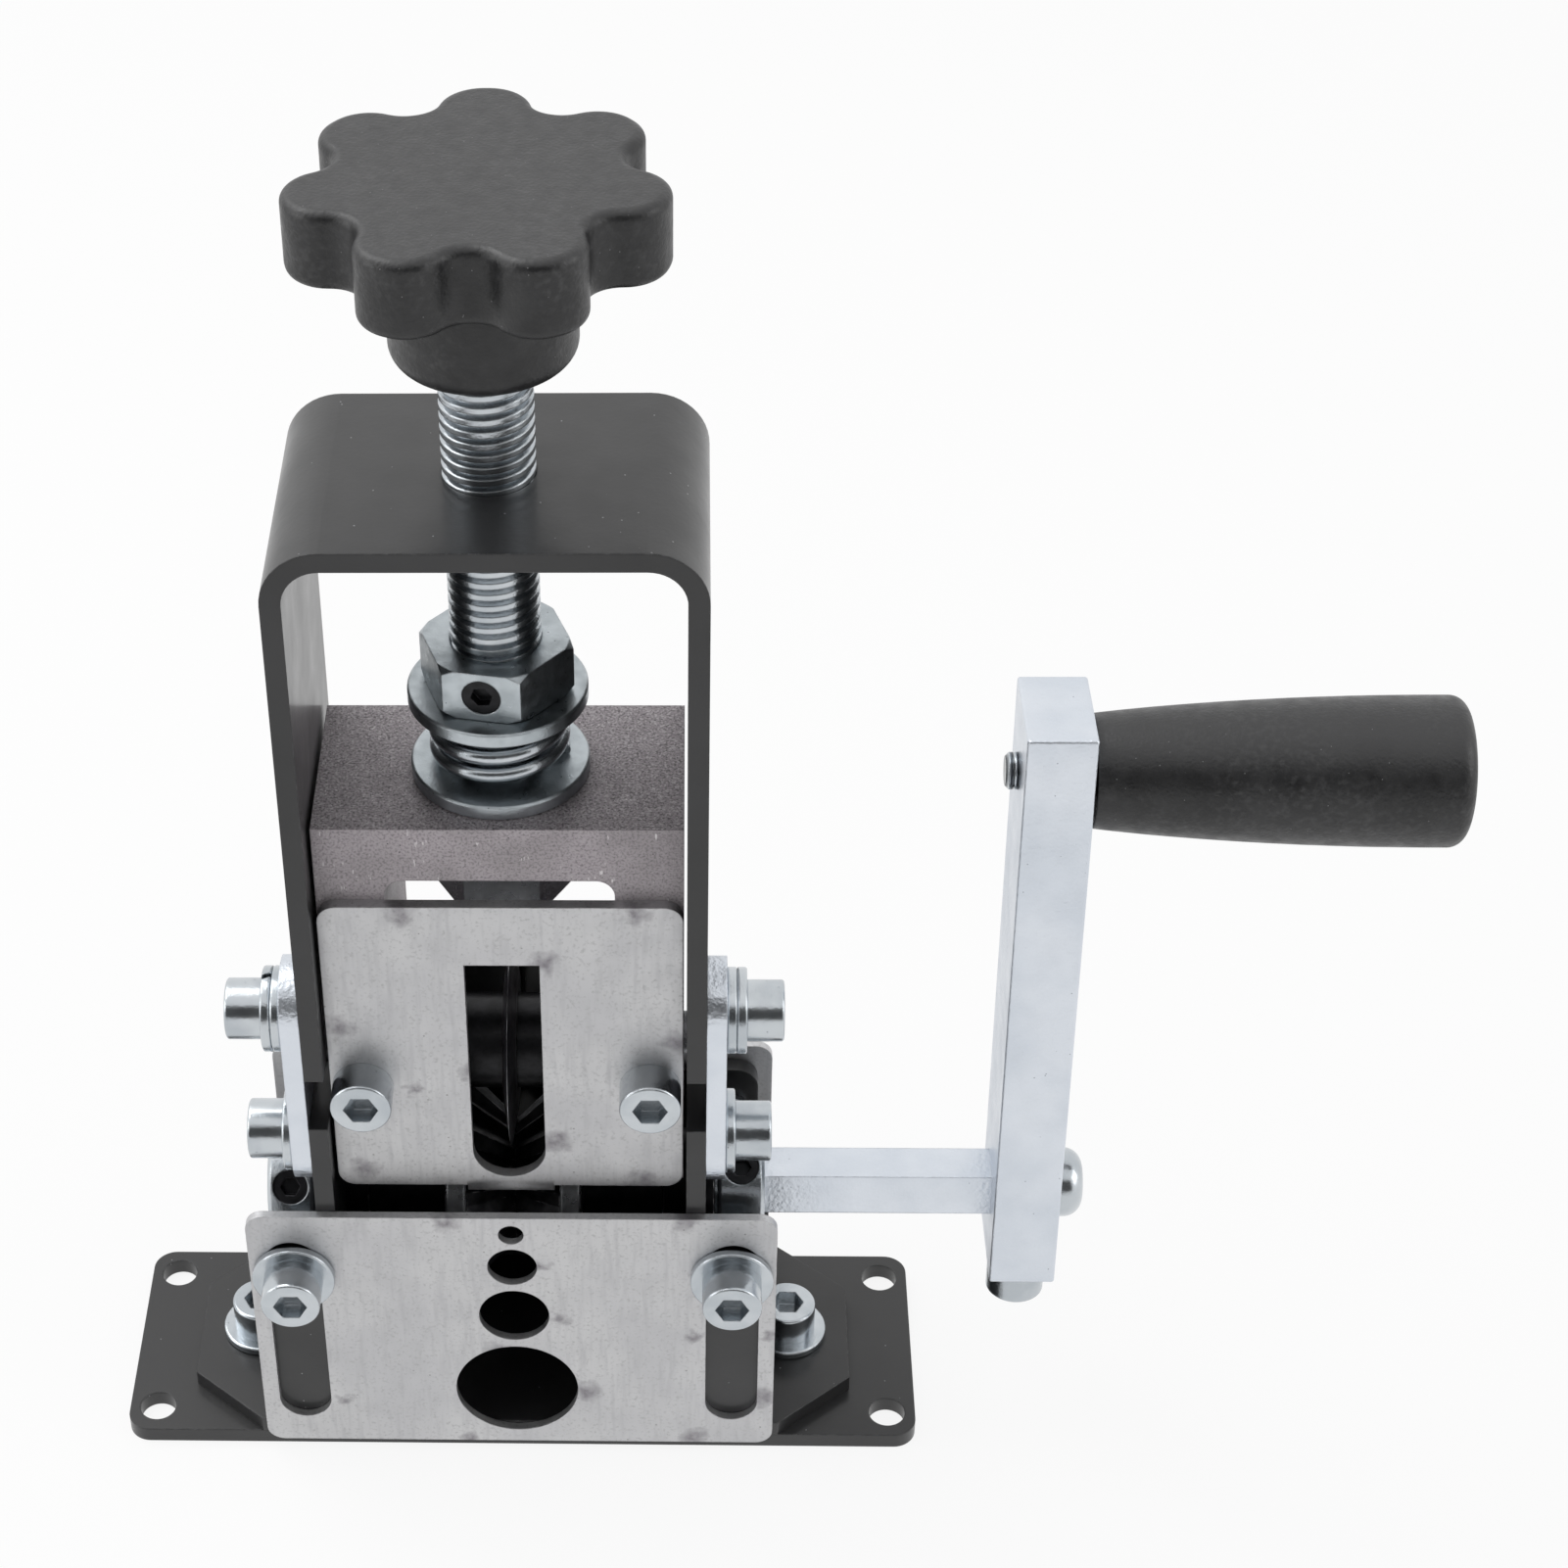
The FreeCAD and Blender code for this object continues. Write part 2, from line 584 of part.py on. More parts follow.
# ---- feed roller and shaft ---------------------------------------------------------
def bush(side):
    """Flanged plain bearing, pressed into a leg from outside."""
    length = BUSH_INNER_LENGTH + FRAME_T
    inner_x = side * (LEG_IN_X - BUSH_INNER_LENGTH)
    outward = Vector(side, 0, 0)
    body = rod(BUSH_R, Vector(inner_x, 0, SHAFT_Z), outward, length)
    flange = rod(BUSH_FLANGE_R, Vector(side * LEG_OUT_X, 0, SHAFT_Z), outward, BUSH_FLANGE_T)
    bore = rod(SHAFT_R + RUN_FIT, Vector(inner_x, 0, SHAFT_Z), outward, length + BUSH_FLANGE_T)
    return body.fuse(flange).cut(bore)


def drive_shaft():
    """Round shaft through both bushes, milled square from the right collar to the arm."""
    left_x = -COLLAR_OUT_X - FACE_GAP
    square_end_x = ARM_X + ARM_POCKET - FACE_GAP
    half = SQUARE_SIDE / 2
    shaft = rod(SHAFT_R, Vector(left_x, 0, SHAFT_Z), X_AXIS, COLLAR_OUT_X - left_x)
    square = block(COLLAR_OUT_X, square_end_x, -half, half, SHAFT_Z - half, SHAFT_Z + half)
    shaft = shaft.fuse(about_shaft(square))
    keyway = block(-KEY_LENGTH / 2, KEY_LENGTH / 2, -KEY_W / 2, KEY_W / 2,
                   SHAFT_Z + SHAFT_R - KEY_DEPTH, SHAFT_Z + SHAFT_R)
    end_hole = rod(M6_R + THREAD_FIT, Vector(square_end_x - SHAFT_TAP_DEPTH, 0, SHAFT_Z),
                   X_AXIS, SHAFT_TAP_DEPTH)
    return shaft.cut(keyway).cut(end_hole)


def roller_key():
    low_z = SHAFT_Z + SHAFT_R - KEY_DEPTH + THREAD_FIT
    half = KEY_W / 2 - THREAD_FIT
    reach = KEY_LENGTH / 2 - THREAD_FIT
    return block(-reach, reach, -half, half, low_z, low_z + KEY_H)


def toothed_ring(x, tip_r):
    """Ring of tooth tips and valleys round the shaft."""
    ring = []
    for i in range(2 * ROLLER_TEETH):
        angle = math.pi * i / ROLLER_TEETH
        radius = tip_r if i % 2 == 0 else tip_r * ROLLER_VALLEY_RATIO
        ring.append(Vector(x, radius * math.cos(angle), SHAFT_Z + radius * math.sin(angle)))
    return Part.makePolygon(ring + ring[:1])


def feed_cone(side):
    """Half of the grooved roller: a toothed cone that widens outward from the middle."""
    ends = sorted([(0, ROLLER_ROOT_R), (side * ROLLER_GROOVE_W / 2, ROLLER_RIM_R)])
    cone = Part.makeLoft([toothed_ring(x, radius) for x, radius in ends], True, True)
    left_x = -ROLLER_GROOVE_W / 2
    cone = cone.cut(rod(SHAFT_R + THREAD_FIT, Vector(left_x, 0, SHAFT_Z), X_AXIS, ROLLER_GROOVE_W))
    key_top = SHAFT_Z + SHAFT_R - KEY_DEPTH + KEY_H + 2 * THREAD_FIT
    return cone.cut(block(left_x, -left_x, -KEY_W / 2, KEY_W / 2, SHAFT_Z, key_top))


def roller_flange(side):
    """Smooth rim at the outer end of a cone."""
    start = Vector(side * ROLLER_GROOVE_W / 2, 0, SHAFT_Z)
    flange = tube(ROLLER_RIM_R, SHAFT_R + THREAD_FIT, start, Vector(side, 0, 0), FLANGE_T)
    return flange.makeChamfer(FLANGE_CHAMFER, rims_of(flange, ROLLER_RIM_R))


def roller_sleeve(side):
    """Spacer between the roller and the bush."""
    inner_x = ROLLER_GROOVE_W / 2 + FLANGE_T
    start = Vector(side * inner_x, 0, SHAFT_Z)
    return tube(SLEEVE_R, SHAFT_R + THREAD_FIT, start, Vector(side, 0, 0), SLEEVE_OUT_X - inner_x)


def thrust_washer(side):
    start = Vector(side * (BUSH_OUT_X + FACE_GAP), 0, SHAFT_Z)
    return tube(THRUST_WASHER_R, SHAFT_R + THREAD_FIT, start, Vector(side, 0, 0), THRUST_WASHER_T)


def collar_seat(side, angle):
    """Point on a collar's outer face where its set screw goes in, and the way out."""
    outward = Vector(0, -math.cos(math.radians(angle)), math.sin(math.radians(angle)))
    middle = Vector(side * (COLLAR_IN_X + COLLAR_W / 2), 0, SHAFT_Z)
    return middle, outward


def collar(side, angle):
    start = Vector(side * COLLAR_IN_X, 0, SHAFT_Z)
    ring = tube(COLLAR_R, SHAFT_R + THREAD_FIT, start, Vector(side, 0, 0), COLLAR_W)
    ring = ring.makeChamfer(COLLAR_CHAMFER, rims_of(ring, COLLAR_R))
    middle, outward = collar_seat(side, angle)
    return ring.cut(rod(M6_R + THREAD_FIT, middle, outward, COLLAR_R + CUT_OVERRUN))


def collar_set_screw(side, angle):
    middle, outward = collar_seat(side, angle)
    length = COLLAR_R - SHAFT_R - SCREW_TIP_GAP - THREAD_FIT
    return seated(set_screw(length), middle + outward * (COLLAR_R - SCREW_TIP_GAP), outward)


# ---- crank -------------------------------------------------------------------------
def crank_arm():
    """Bar with a blind square socket for the shaft and a tapped hole for the spindle."""
    half_w = ARM_W / 2
    arm = block(ARM_X, ARM_OUT_X, -half_w, half_w, SHAFT_Z - ARM_DOWN, SHAFT_Z + ARM_UP)
    arm = arm.makeFillet(ARM_EDGE_R, arm.Edges)
    half = SQUARE_SIDE / 2 + THREAD_FIT
    arm = arm.cut(block(ARM_X, ARM_X + ARM_POCKET, -half, half, SHAFT_Z - half, SHAFT_Z + half))
    arm = arm.cut(rod(M6_R + THREAD_FIT, Vector(ARM_X, 0, SHAFT_Z), X_AXIS, ARM_T))
    arm = arm.cut(rod(M6_R + THREAD_FIT, Vector(ARM_X + ARM_T / 2, 0, SHAFT_Z - ARM_DOWN),
                      Z_AXIS, ARM_DOWN))
    arm = arm.cut(rod(M6_R + THREAD_FIT, Vector(ARM_X, 0, SHAFT_Z + CRANK_RADIUS), X_AXIS, ARM_T))
    return about_shaft(arm)


def shaft_end_screw():
    reach = SHAFT_TAP_DEPTH + ARM_T - ARM_POCKET - SCREW_TIP_GAP
    return seated(pan_screw(reach), Vector(ARM_OUT_X, 0, SHAFT_Z), X_AXIS)


def arm_clamp_screw():
    """Screw up through the arm's lower end against the square bar, its head off the arm."""
    head_down = ARM_DOWN + CLAMP_HEAD_OUT
    reach = head_down - SQUARE_SIDE / 2 - FACE_GAP
    seat = Vector(ARM_X + ARM_T / 2, 0, SHAFT_Z - head_down)
    return about_shaft(seated(cap_screw(reach), seat, Vector(0, 0, -1)))


def grip_spindle():
    """Shoulder screw: M6 thread through the arm, plain shoulder and a round head."""
    z = SHAFT_Z + CRANK_RADIUS
    thread_x = ARM_X - SPINDLE_THREAD_OUT
    thread = rod(M6_R, Vector(thread_x, 0, z), X_AXIS, ARM_OUT_X - thread_x)
    tip = [e for e in rims_of(thread, M6_R) if e.Curve.Center.x < ARM_X]
    thread = thread.makeChamfer(M6_THREAD_CHAMFER, tip)
    shoulder = rod(SPINDLE_R, Vector(ARM_OUT_X, 0, z), X_AXIS, SPINDLE_HEAD_X - ARM_OUT_X)
    head = rod(SPINDLE_HEAD_R, Vector(SPINDLE_HEAD_X, 0, z), X_AXIS, SPINDLE_HEAD_T)
    socket = seated(hexagon(M6_SOCKET_AF, SPINDLE_HEAD_T / 2),
                    Vector(SPINDLE_HEAD_X + SPINDLE_HEAD_T / 2, 0, z), X_AXIS)
    return about_shaft(thread.fuse(shoulder).fuse(head).cut(socket))


def grip():
    """Moulded handle: a narrow neck at the arm, flaring to a full round body."""
    z = SHAFT_Z + CRANK_RADIUS
    swell = GRIP_BODY_R - GRIP_NECK_R
    points = [Vector(GRIP_X + along * GRIP_LENGTH, 0, z + GRIP_NECK_R + rise * swell)
              for along, rise in GRIP_FLARE]
    flare = Part.BezierCurve()
    flare.setPoles(points)
    straight_end = Vector(GRIP_END_X - GRIP_END_R, 0, z + GRIP_BODY_R)
    bow = Vector(GRIP_END_X - GRIP_END_R * (1 - math.sqrt(0.5)), 0,
                 z + GRIP_BODY_R - GRIP_END_R * (1 - math.sqrt(0.5)))
    end_edge = Vector(GRIP_END_X, 0, z + GRIP_BODY_R - GRIP_END_R)
    edges = [flare.toShape(), Part.makeLine(points[-1], straight_end),
             Part.Arc(straight_end, bow, end_edge).toShape(),
             Part.makeLine(end_edge, Vector(GRIP_END_X, 0, z)),
             Part.makeLine(Vector(GRIP_END_X, 0, z), Vector(GRIP_X, 0, z)),
             Part.makeLine(Vector(GRIP_X, 0, z), points[0])]
    body = Part.Face(Part.Wire(edges)).revolve(Vector(0, 0, z), X_AXIS, 360)
    body = body.cut(rod(SPINDLE_R + RUN_FIT, Vector(GRIP_X, 0, z), X_AXIS, GRIP_LENGTH))
    recess = rod(SPINDLE_HEAD_R + HOLE_GAP, Vector(GRIP_END_X - GRIP_RECESS, 0, z),
                 X_AXIS, GRIP_RECESS)
    return about_shaft(body.cut(recess))


# ---- blade and carriage ---------------------------------------------------------------
def blade():
    """Round blade ground on both sides to a central edge."""
    half_t = BLADE_T / 2
    bore = AXLE_R + RUN_FIT
    body_r = BLADE_R - BLADE_BEVEL
    profile = [(-half_t, bore), (half_t, bore), (half_t, body_r), (0, BLADE_R), (-half_t, body_r)]
    ring = [Vector(x, 0, BLADE_Z + r) for x, r in profile]
    face = Part.Face(Part.makePolygon(ring + ring[:1]))
    return face.revolve(Vector(0, 0, BLADE_Z), X_AXIS, 360)


def blade_spacers():
    length = CARRIAGE_WINDOW_W / 2 - BLADE_T / 2 - SLIDE_GAP
    return pair(lambda side: tube(SPACER_R, AXLE_R + RUN_FIT,
                                  Vector(side * BLADE_T / 2, 0, BLADE_Z), Vector(side, 0, 0), length))


def clip_x():
    return LEG_OUT_X + SLIDE_GAP


def blade_axle():
    """Axle through the carriage, its ends in the frame's upright ways."""
    axle = rod(AXLE_R, Vector(-AXLE_LENGTH / 2, 0, BLADE_Z), X_AXIS, AXLE_LENGTH)
    axle = axle.makeChamfer(AXLE_CHAMFER, rims_of(axle, AXLE_R))
    for side in SIDES:
        start = Vector(side * clip_x(), 0, BLADE_Z)
        axle = axle.cut(tube(CLIP_R, AXLE_R - CLIP_GROOVE_DEPTH, start, Vector(side, 0, 0), CLIP_T))
    return axle


def axle_clip(side):
    """Open retaining ring in the axle's groove, its mouth facing the rear."""
    start = Vector(side * clip_x(), 0, BLADE_Z)
    ring = tube(CLIP_R, AXLE_R - CLIP_GROOVE_DEPTH + THREAD_FIT, start, Vector(side, 0, 0), CLIP_T)
    x0 = min(side * clip_x(), side * (clip_x() + CLIP_T))
    return ring.cut(block(x0, x0 + CLIP_T, 0, CLIP_R + CUT_OVERRUN,
                          BLADE_Z - CLIP_MOUTH_W / 2, BLADE_Z + CLIP_MOUTH_W / 2))


def carriage():
    """Block like an upside down U that carries the blade on its two legs."""
    half_w = CARRIAGE_W / 2
    half_d = CARRIAGE_D / 2
    half_window = CARRIAGE_WINDOW_W / 2
    body = block(-half_w, half_w, -half_d, half_d, CARRIAGE_LOW_Z, CARRIAGE_TOP_Z)
    ceiling_z = CARRIAGE_TOP_Z - CARRIAGE_TOP_T
    window = block(-half_window, half_window, -half_d, half_d, CARRIAGE_LOW_Z, ceiling_z)
    top = [e for e in edges_along(window, Y_AXIS) if e.CenterOfMass.z > BLADE_Z]
    body = body.cut(window.makeFillet(CARRIAGE_WINDOW_R, top))
    body = body.cut(rod(SCREW_R + HOLE_GAP, Vector(0, 0, ceiling_z), Z_AXIS, CARRIAGE_TOP_T))
    body = body.cut(rod(AXLE_R + THREAD_FIT, Vector(-half_w, 0, BLADE_Z), X_AXIS, CARRIAGE_W))
    for side in SIDES:
        for front in SIDES:
            start = Vector(side * COVER_SCREW_X, front * half_d, COVER_SCREW_Z)
            inward = Vector(0, -front, 0)
            body = body.cut(rod(M6_R + THREAD_FIT, start, inward, COVER_SCREW_REACH + HOLE_GAP))
    return body


def cover_lip():
    """Tongue under the cover's slot, bent back over the roller."""
    half_w = COVER_LIP_W / 2
    z = CARRIAGE_LOW_Z + COVER_LIP_START
    root = Part.makePolygon([Vector(-half_w, COVER_OUT_Y, z), Vector(half_w, COVER_OUT_Y, z),
                             Vector(half_w, COVER_IN_Y, z), Vector(-half_w, COVER_IN_Y, z),
                             Vector(-half_w, COVER_OUT_Y, z)])
    centre = Vector(0, COVER_OUT_Y + COVER_LIP_BEND_R, z)
    return Part.Face(root).revolve(centre, X_AXIS, COVER_LIP_ANGLE)


def blade_cover():
    """Slotted plate over the front of the carriage."""
    plate = rounded_plate(COVER_W, COVER_H, COVER_T, COVER_CORNER_R)
    half_slot = COVER_SLOT_W / 2
    slot = block(-half_slot, half_slot, 0, COVER_T, COVER_SLOT_LOW + half_slot, COVER_SLOT_HIGH)
    slot = slot.fuse(rod(half_slot, Vector(0, 0, COVER_SLOT_LOW + half_slot), Y_AXIS, COVER_T))
    plate = plate.cut(slot)
    plate = plate.cut(block(-COVER_LIP_W / 2, COVER_LIP_W / 2, 0, COVER_T, 0, COVER_LIP_START))
    plate.translate(Vector(0, COVER_OUT_Y, CARRIAGE_LOW_Z))
    for side in SIDES:
        start = Vector(side * COVER_SCREW_X, COVER_OUT_Y, COVER_SCREW_Z)
        plate = plate.cut(rod(M6_R + THREAD_FIT, start, Y_AXIS, COVER_T))
    return plate.fuse(cover_lip())


def rear_cover():
    """Low plate over the rear of the carriage, with a blind groove that clears the blade."""
    plate = rounded_plate(COVER_W, REAR_COVER_H, REAR_COVER_T, COVER_CORNER_R)
    plate.translate(Vector(0, REAR_IN_Y, CARRIAGE_LOW_Z))
    reach = max(BLADE_REAR_RISE, REAR_GROOVE_W) + REAR_GROOVE_END
    plate = plate.cut(slot_z(0, REAR_GROOVE_W / 2, BLADE_Z - reach, BLADE_Z + reach,
                             0, REAR_WEB_Y))
    for side in SIDES:
        start = Vector(side * COVER_SCREW_X, REAR_IN_Y, COVER_SCREW_Z)
        plate = plate.cut(rod(M6_R + THREAD_FIT, start, Y_AXIS, REAR_COVER_T))
    return plate


def plate_screws(front, plate_t):
    """Two cap screws that hold a plate to the carriage."""
    reach = plate_t + COVER_SCREW_REACH
    seat_y = front * (CARRIAGE_D / 2 + plate_t)
    return pair(lambda side: seated(cap_screw(reach),
                                    Vector(side * COVER_SCREW_X, seat_y, COVER_SCREW_Z),
                                    Vector(0, front, 0)))


# ---- pressure screw --------------------------------------------------------------------
def pressure_screw():
    screw = rod(SCREW_R, Vector(0, 0, SCREW_LOW_Z), Z_AXIS, SCREW_TOP_Z - SCREW_LOW_Z)
    return screw.makeChamfer(SCREW_CHAMFER, rims_of(screw, SCREW_R))


def nut_hole_way():
    """Direction of the set screw in the upper nut: out of the nut's front flat."""
    angle = math.radians(UPPER_NUT_TURN - 90)
    return Vector(math.cos(angle), math.sin(angle), 0)


def upper_nut():
    nut = hex_nut(UPPER_NUT_H)
    nut.rotate(Vector(0, 0, 0), Z_AXIS, UPPER_NUT_TURN)
    nut.translate(Vector(0, 0, UPPER_NUT_Z))
    middle = Vector(0, 0, UPPER_NUT_Z + UPPER_NUT_H / 2)
    return nut.cut(rod(M6_R + THREAD_FIT, middle, nut_hole_way(), NUT_AF))


def nut_set_screw():
    length = NUT_AF / 2 - SCREW_R - SCREW_TIP_GAP
    middle = Vector(0, 0, UPPER_NUT_Z + UPPER_NUT_H / 2)
    seat = middle + nut_hole_way() * (NUT_AF / 2 - SCREW_TIP_GAP / 2)
    return seated(set_screw(length), seat, nut_hole_way())


def lower_nut():
    nut = hex_nut(LOWER_NUT_H)
    nut.translate(Vector(0, 0, LOWER_NUT_Z))
    return nut


def spring():
    """Coil spring of round wire with both ends ground flat."""
    coil_r = SPRING_R - SPRING_WIRE / 2
    end_rise = SPRING_WIRE / 2 - SPRING_GRIND
    rise = SPRING_H - 2 * end_rise
    helix = Part.makeHelix(rise / SPRING_TURNS, rise, coil_r)
    section = Part.Wire(Part.makeCircle(SPRING_WIRE / 2, Vector(coil_r, 0, 0), Y_AXIS))
    coil = Part.Wire(helix.Edges).makePipeShell([section], True, True)
    coil.translate(Vector(0, 0, SPRING_Z + end_rise))
    return coil.common(rod(SPRING_R + CUT_OVERRUN, Vector(0, 0, SPRING_Z), Z_AXIS, SPRING_H))


def knob_blank():
    """Disc with a row of valleys cut round its rim, one of them facing the front."""
    blank = rod(KNOB_R, Vector(0, 0, KNOB_RIM_Z), Z_AXIS, KNOB_TOP_Z - KNOB_RIM_Z)
    for i in range(KNOB_LOBES):
        angle = math.radians(-90 + 360 * i / KNOB_LOBES)
        reach = KNOB_VALLEY_R + KNOB_VALLEY_CUT_R
        centre = Vector(reach * math.cos(angle), reach * math.sin(angle), KNOB_RIM_Z)
        blank = blank.cut(rod(KNOB_VALLEY_CUT_R, centre, Z_AXIS, KNOB_TOP_Z - KNOB_RIM_Z))
    blank = blank.makeFillet(KNOB_LOBE_R, edges_along(blank, Z_AXIS))
    rims = [e for e in blank.Edges if e.BoundBox.ZLength < SAME]
    return blank.makeFillet(KNOB_EDGE_R, rims)


def star_knob():
    """Lobed knob with a round hub, its lower edge rounded, and a lip round the screw."""
    hub = rod(HUB_R, Vector(0, 0, HUB_LOW_Z), Z_AXIS, KNOB_RIM_Z - HUB_LOW_Z + KNOB_EDGE_R)
    low_rim = [e for e in rims_of(hub, HUB_R) if e.Curve.Center.z < KNOB_RIM_Z]
    hub = hub.makeFillet(HUB_EDGE_R, low_rim)
    lip = rod(HUB_LIP_R, Vector(0, 0, KNOB_LOW_Z), Z_AXIS, HUB_LOW_Z - KNOB_LOW_Z)
    knob = knob_blank().fuse(hub).fuse(lip)
    knob = knob.cut(rod(SCREW_R + THREAD_FIT, Vector(0, 0, KNOB_LOW_Z), Z_AXIS,
                        SCREW_TOP_Z - KNOB_LOW_Z + THREAD_FIT))
    pocket = rod(INSERT_R + THREAD_FIT, Vector(0, 0, HUB_LOW_Z + INSERT_COVER_T - THREAD_FIT),
                 Z_AXIS, INSERT_H + 2 * THREAD_FIT)
    return knob.cut(pocket)


def knob_insert():
    """Threaded steel bush moulded into the hub."""
    start = Vector(0, 0, HUB_LOW_Z + INSERT_COVER_T)
    return tube(INSERT_R, SCREW_R + THREAD_FIT, start, Z_AXIS, INSERT_H)


# ---- all nodes ---------------------------------------------------------------------------
NODES = {
    "base_plate": base_plate,
    "lower_bracket": lower_bracket,
    "base_screws": base_screws,
    "base_washers": base_washers,
    "u_frame": u_frame,
    "left_strap": lambda: strap(-1),
    "right_strap": lambda: strap(1),
    "strap_upper_screws": strap_upper_screws,
    "strap_flat_washers": strap_flat_washers,
    "strap_lock_washers": strap_lock_washers,
    "strap_lower_screws": strap_lower_screws,
    "strap_lower_washers": strap_lower_washers,
    "front_guide_plate": lambda: guide_plate(-1, FRONT_GUIDE_Z, GUIDE_HOLES),
    "front_guide_screws": lambda: guide_screws(-1),
    "front_guide_washers": lambda: guide_washers(-1),
    "rear_guide_plate": lambda: guide_plate(1, REAR_GUIDE_Z, ()),
    "rear_guide_screws": lambda: guide_screws(1),
    "rear_guide_washers": lambda: guide_washers(1),
    "left_bush": lambda: bush(-1),
    "right_bush": lambda: bush(1),
    "drive_shaft": drive_shaft,
    "roller_key": roller_key,
    "left_feed_cone": lambda: feed_cone(-1),
    "right_feed_cone": lambda: feed_cone(1),
    "left_roller_flange": lambda: roller_flange(-1),
    "right_roller_flange": lambda: roller_flange(1),
    "roller_sleeves": lambda: pair(roller_sleeve),
    "left_thrust_washer": lambda: thrust_washer(-1),
    "right_thrust_washer": lambda: thrust_washer(1),
    "left_collar": lambda: collar(-1, LEFT_SET_ANGLE),
    "right_collar": lambda: collar(1, RIGHT_SET_ANGLE),
    "left_collar_set_screw": lambda: collar_set_screw(-1, LEFT_SET_ANGLE),
    "right_collar_set_screw": lambda: collar_set_screw(1, RIGHT_SET_ANGLE),
    "crank_arm": crank_arm,
    "shaft_end_screw": shaft_end_screw,
    "arm_clamp_screw": arm_clamp_screw,
    "grip_spindle": grip_spindle,
    "grip": grip,
    "blade": blade,
    "blade_spacers": blade_spacers,
    "blade_axle": blade_axle,
    "axle_clips": lambda: pair(axle_clip),
    "carriage": carriage,
    "blade_cover": blade_cover,
    "cover_screws": lambda: plate_screws(-1, COVER_T),
    "rear_cover": rear_cover,
    "rear_cover_screws": lambda: plate_screws(1, REAR_COVER_T),
    "lower_washer": lambda: disc_washer(LOWER_WASHER_Z),
    "spring": spring,
    "upper_washer": lambda: disc_washer(UPPER_WASHER_Z),
    "pressure_screw": pressure_screw,
    "upper_nut": upper_nut,
    "nut_set_screw": nut_set_screw,
    "lower_nut": lower_nut,
    "star_knob": star_knob,
    "knob_insert": knob_insert,
}


def main():
    os.makedirs("parts", exist_ok=True)
    for name, maker in NODES.items():
        shape = maker()
        solids = shape.Solids
        if not solids or not shape.isValid():
            raise RuntimeError(name + " did not build a valid solid")
        whole = solids[0] if len(solids) == 1 else Part.makeCompound(solids)
        whole.exportStep("parts/" + name + ".step")
        print(name, len(solids), round(whole.Volume, 1))


main()
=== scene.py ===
"""Looks of a hand crank wire stripper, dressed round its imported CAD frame.

Each sub-assembly is a class that finishes its own CAD nodes and models the pieces
that the frame holds only in plain form, such as the pressure screw's thread.
Sizes in the classes are in millimetres, and every mesh is in metres.
"""

import logging
import math
from dataclasses import dataclass, field
from enum import Enum

import bmesh
import bpy
from mathutils import Matrix, Vector


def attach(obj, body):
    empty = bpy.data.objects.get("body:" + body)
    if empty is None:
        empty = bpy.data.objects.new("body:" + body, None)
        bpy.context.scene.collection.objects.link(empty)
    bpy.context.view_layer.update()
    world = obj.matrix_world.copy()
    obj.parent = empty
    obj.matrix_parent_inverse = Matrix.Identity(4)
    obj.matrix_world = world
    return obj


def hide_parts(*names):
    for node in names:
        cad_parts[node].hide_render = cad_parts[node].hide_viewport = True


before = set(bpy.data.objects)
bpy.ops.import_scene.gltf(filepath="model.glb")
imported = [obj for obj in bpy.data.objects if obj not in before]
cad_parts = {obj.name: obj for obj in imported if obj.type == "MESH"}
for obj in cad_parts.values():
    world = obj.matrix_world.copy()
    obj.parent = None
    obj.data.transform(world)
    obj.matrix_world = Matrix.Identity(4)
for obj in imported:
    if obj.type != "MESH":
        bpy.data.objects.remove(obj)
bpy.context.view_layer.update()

LOG = logging.getLogger("wire_stripper")
MM = 0.001


class Body(Enum):
    """CAD bodies that the pieces ride on."""

    BASE = "base"
    CRANK = "crank"
    KNOB = "pressure_knob"
    CARRIAGE = "blade_carriage"


def linear(code: str) -> tuple[float, float, float, float]:
    """Turns an sRGB hex colour to linear light.

    Args:
        code: colour such as "#1a1a1c".

    Returns:
        Red, green, blue and an alpha of 1.
    """
    parts = [int(code[i:i + 2], 16) / 255 for i in (1, 3, 5)]
    red, green, blue = (c / 12.92 if c <= 0.04045 else ((c + 0.055) / 1.055) ** 2.4 for c in parts)
    return red, green, blue, 1.0


def add_node(tree: bpy.types.NodeTree, kind: str, settings: dict | None = None,
             inputs: dict | None = None) -> bpy.types.Node:
    """Adds a node with its settings and links.

    Args:
        tree: node tree to add to.
        kind: node type, such as "ShaderNodeMath".
        settings: properties to set.
        inputs: values or sockets by input name or number.

    Returns:
        The new node.
    """
    node = tree.nodes.new(kind)
    for name, value in (settings or {}).items():
        setattr(node, name, value)
    for key, value in (inputs or {}).items():
        if isinstance(value, bpy.types.NodeSocket):
            tree.links.new(value, node.inputs[key])
        else:
            node.inputs[key].default_value = value
    return node


@dataclass(frozen=True)
class Patches:
    """Noise pattern of patches.

    Args:
        size_mm: size of a patch.
        start: noise value where a patch begins.
        end: noise value where a patch is full.
        detail: how much finer noise the edges have.
        stretch: pattern scale along each axis; a small number draws streaks along it.
        shift: moves the pattern, so that two of one size differ.
    """

    size_mm: float
    start: float = 0.4
    end: float = 0.62
    detail: float = 3.0
    stretch: tuple[float, float, float] = (1.0, 1.0, 1.0)
    shift: float = 0.0


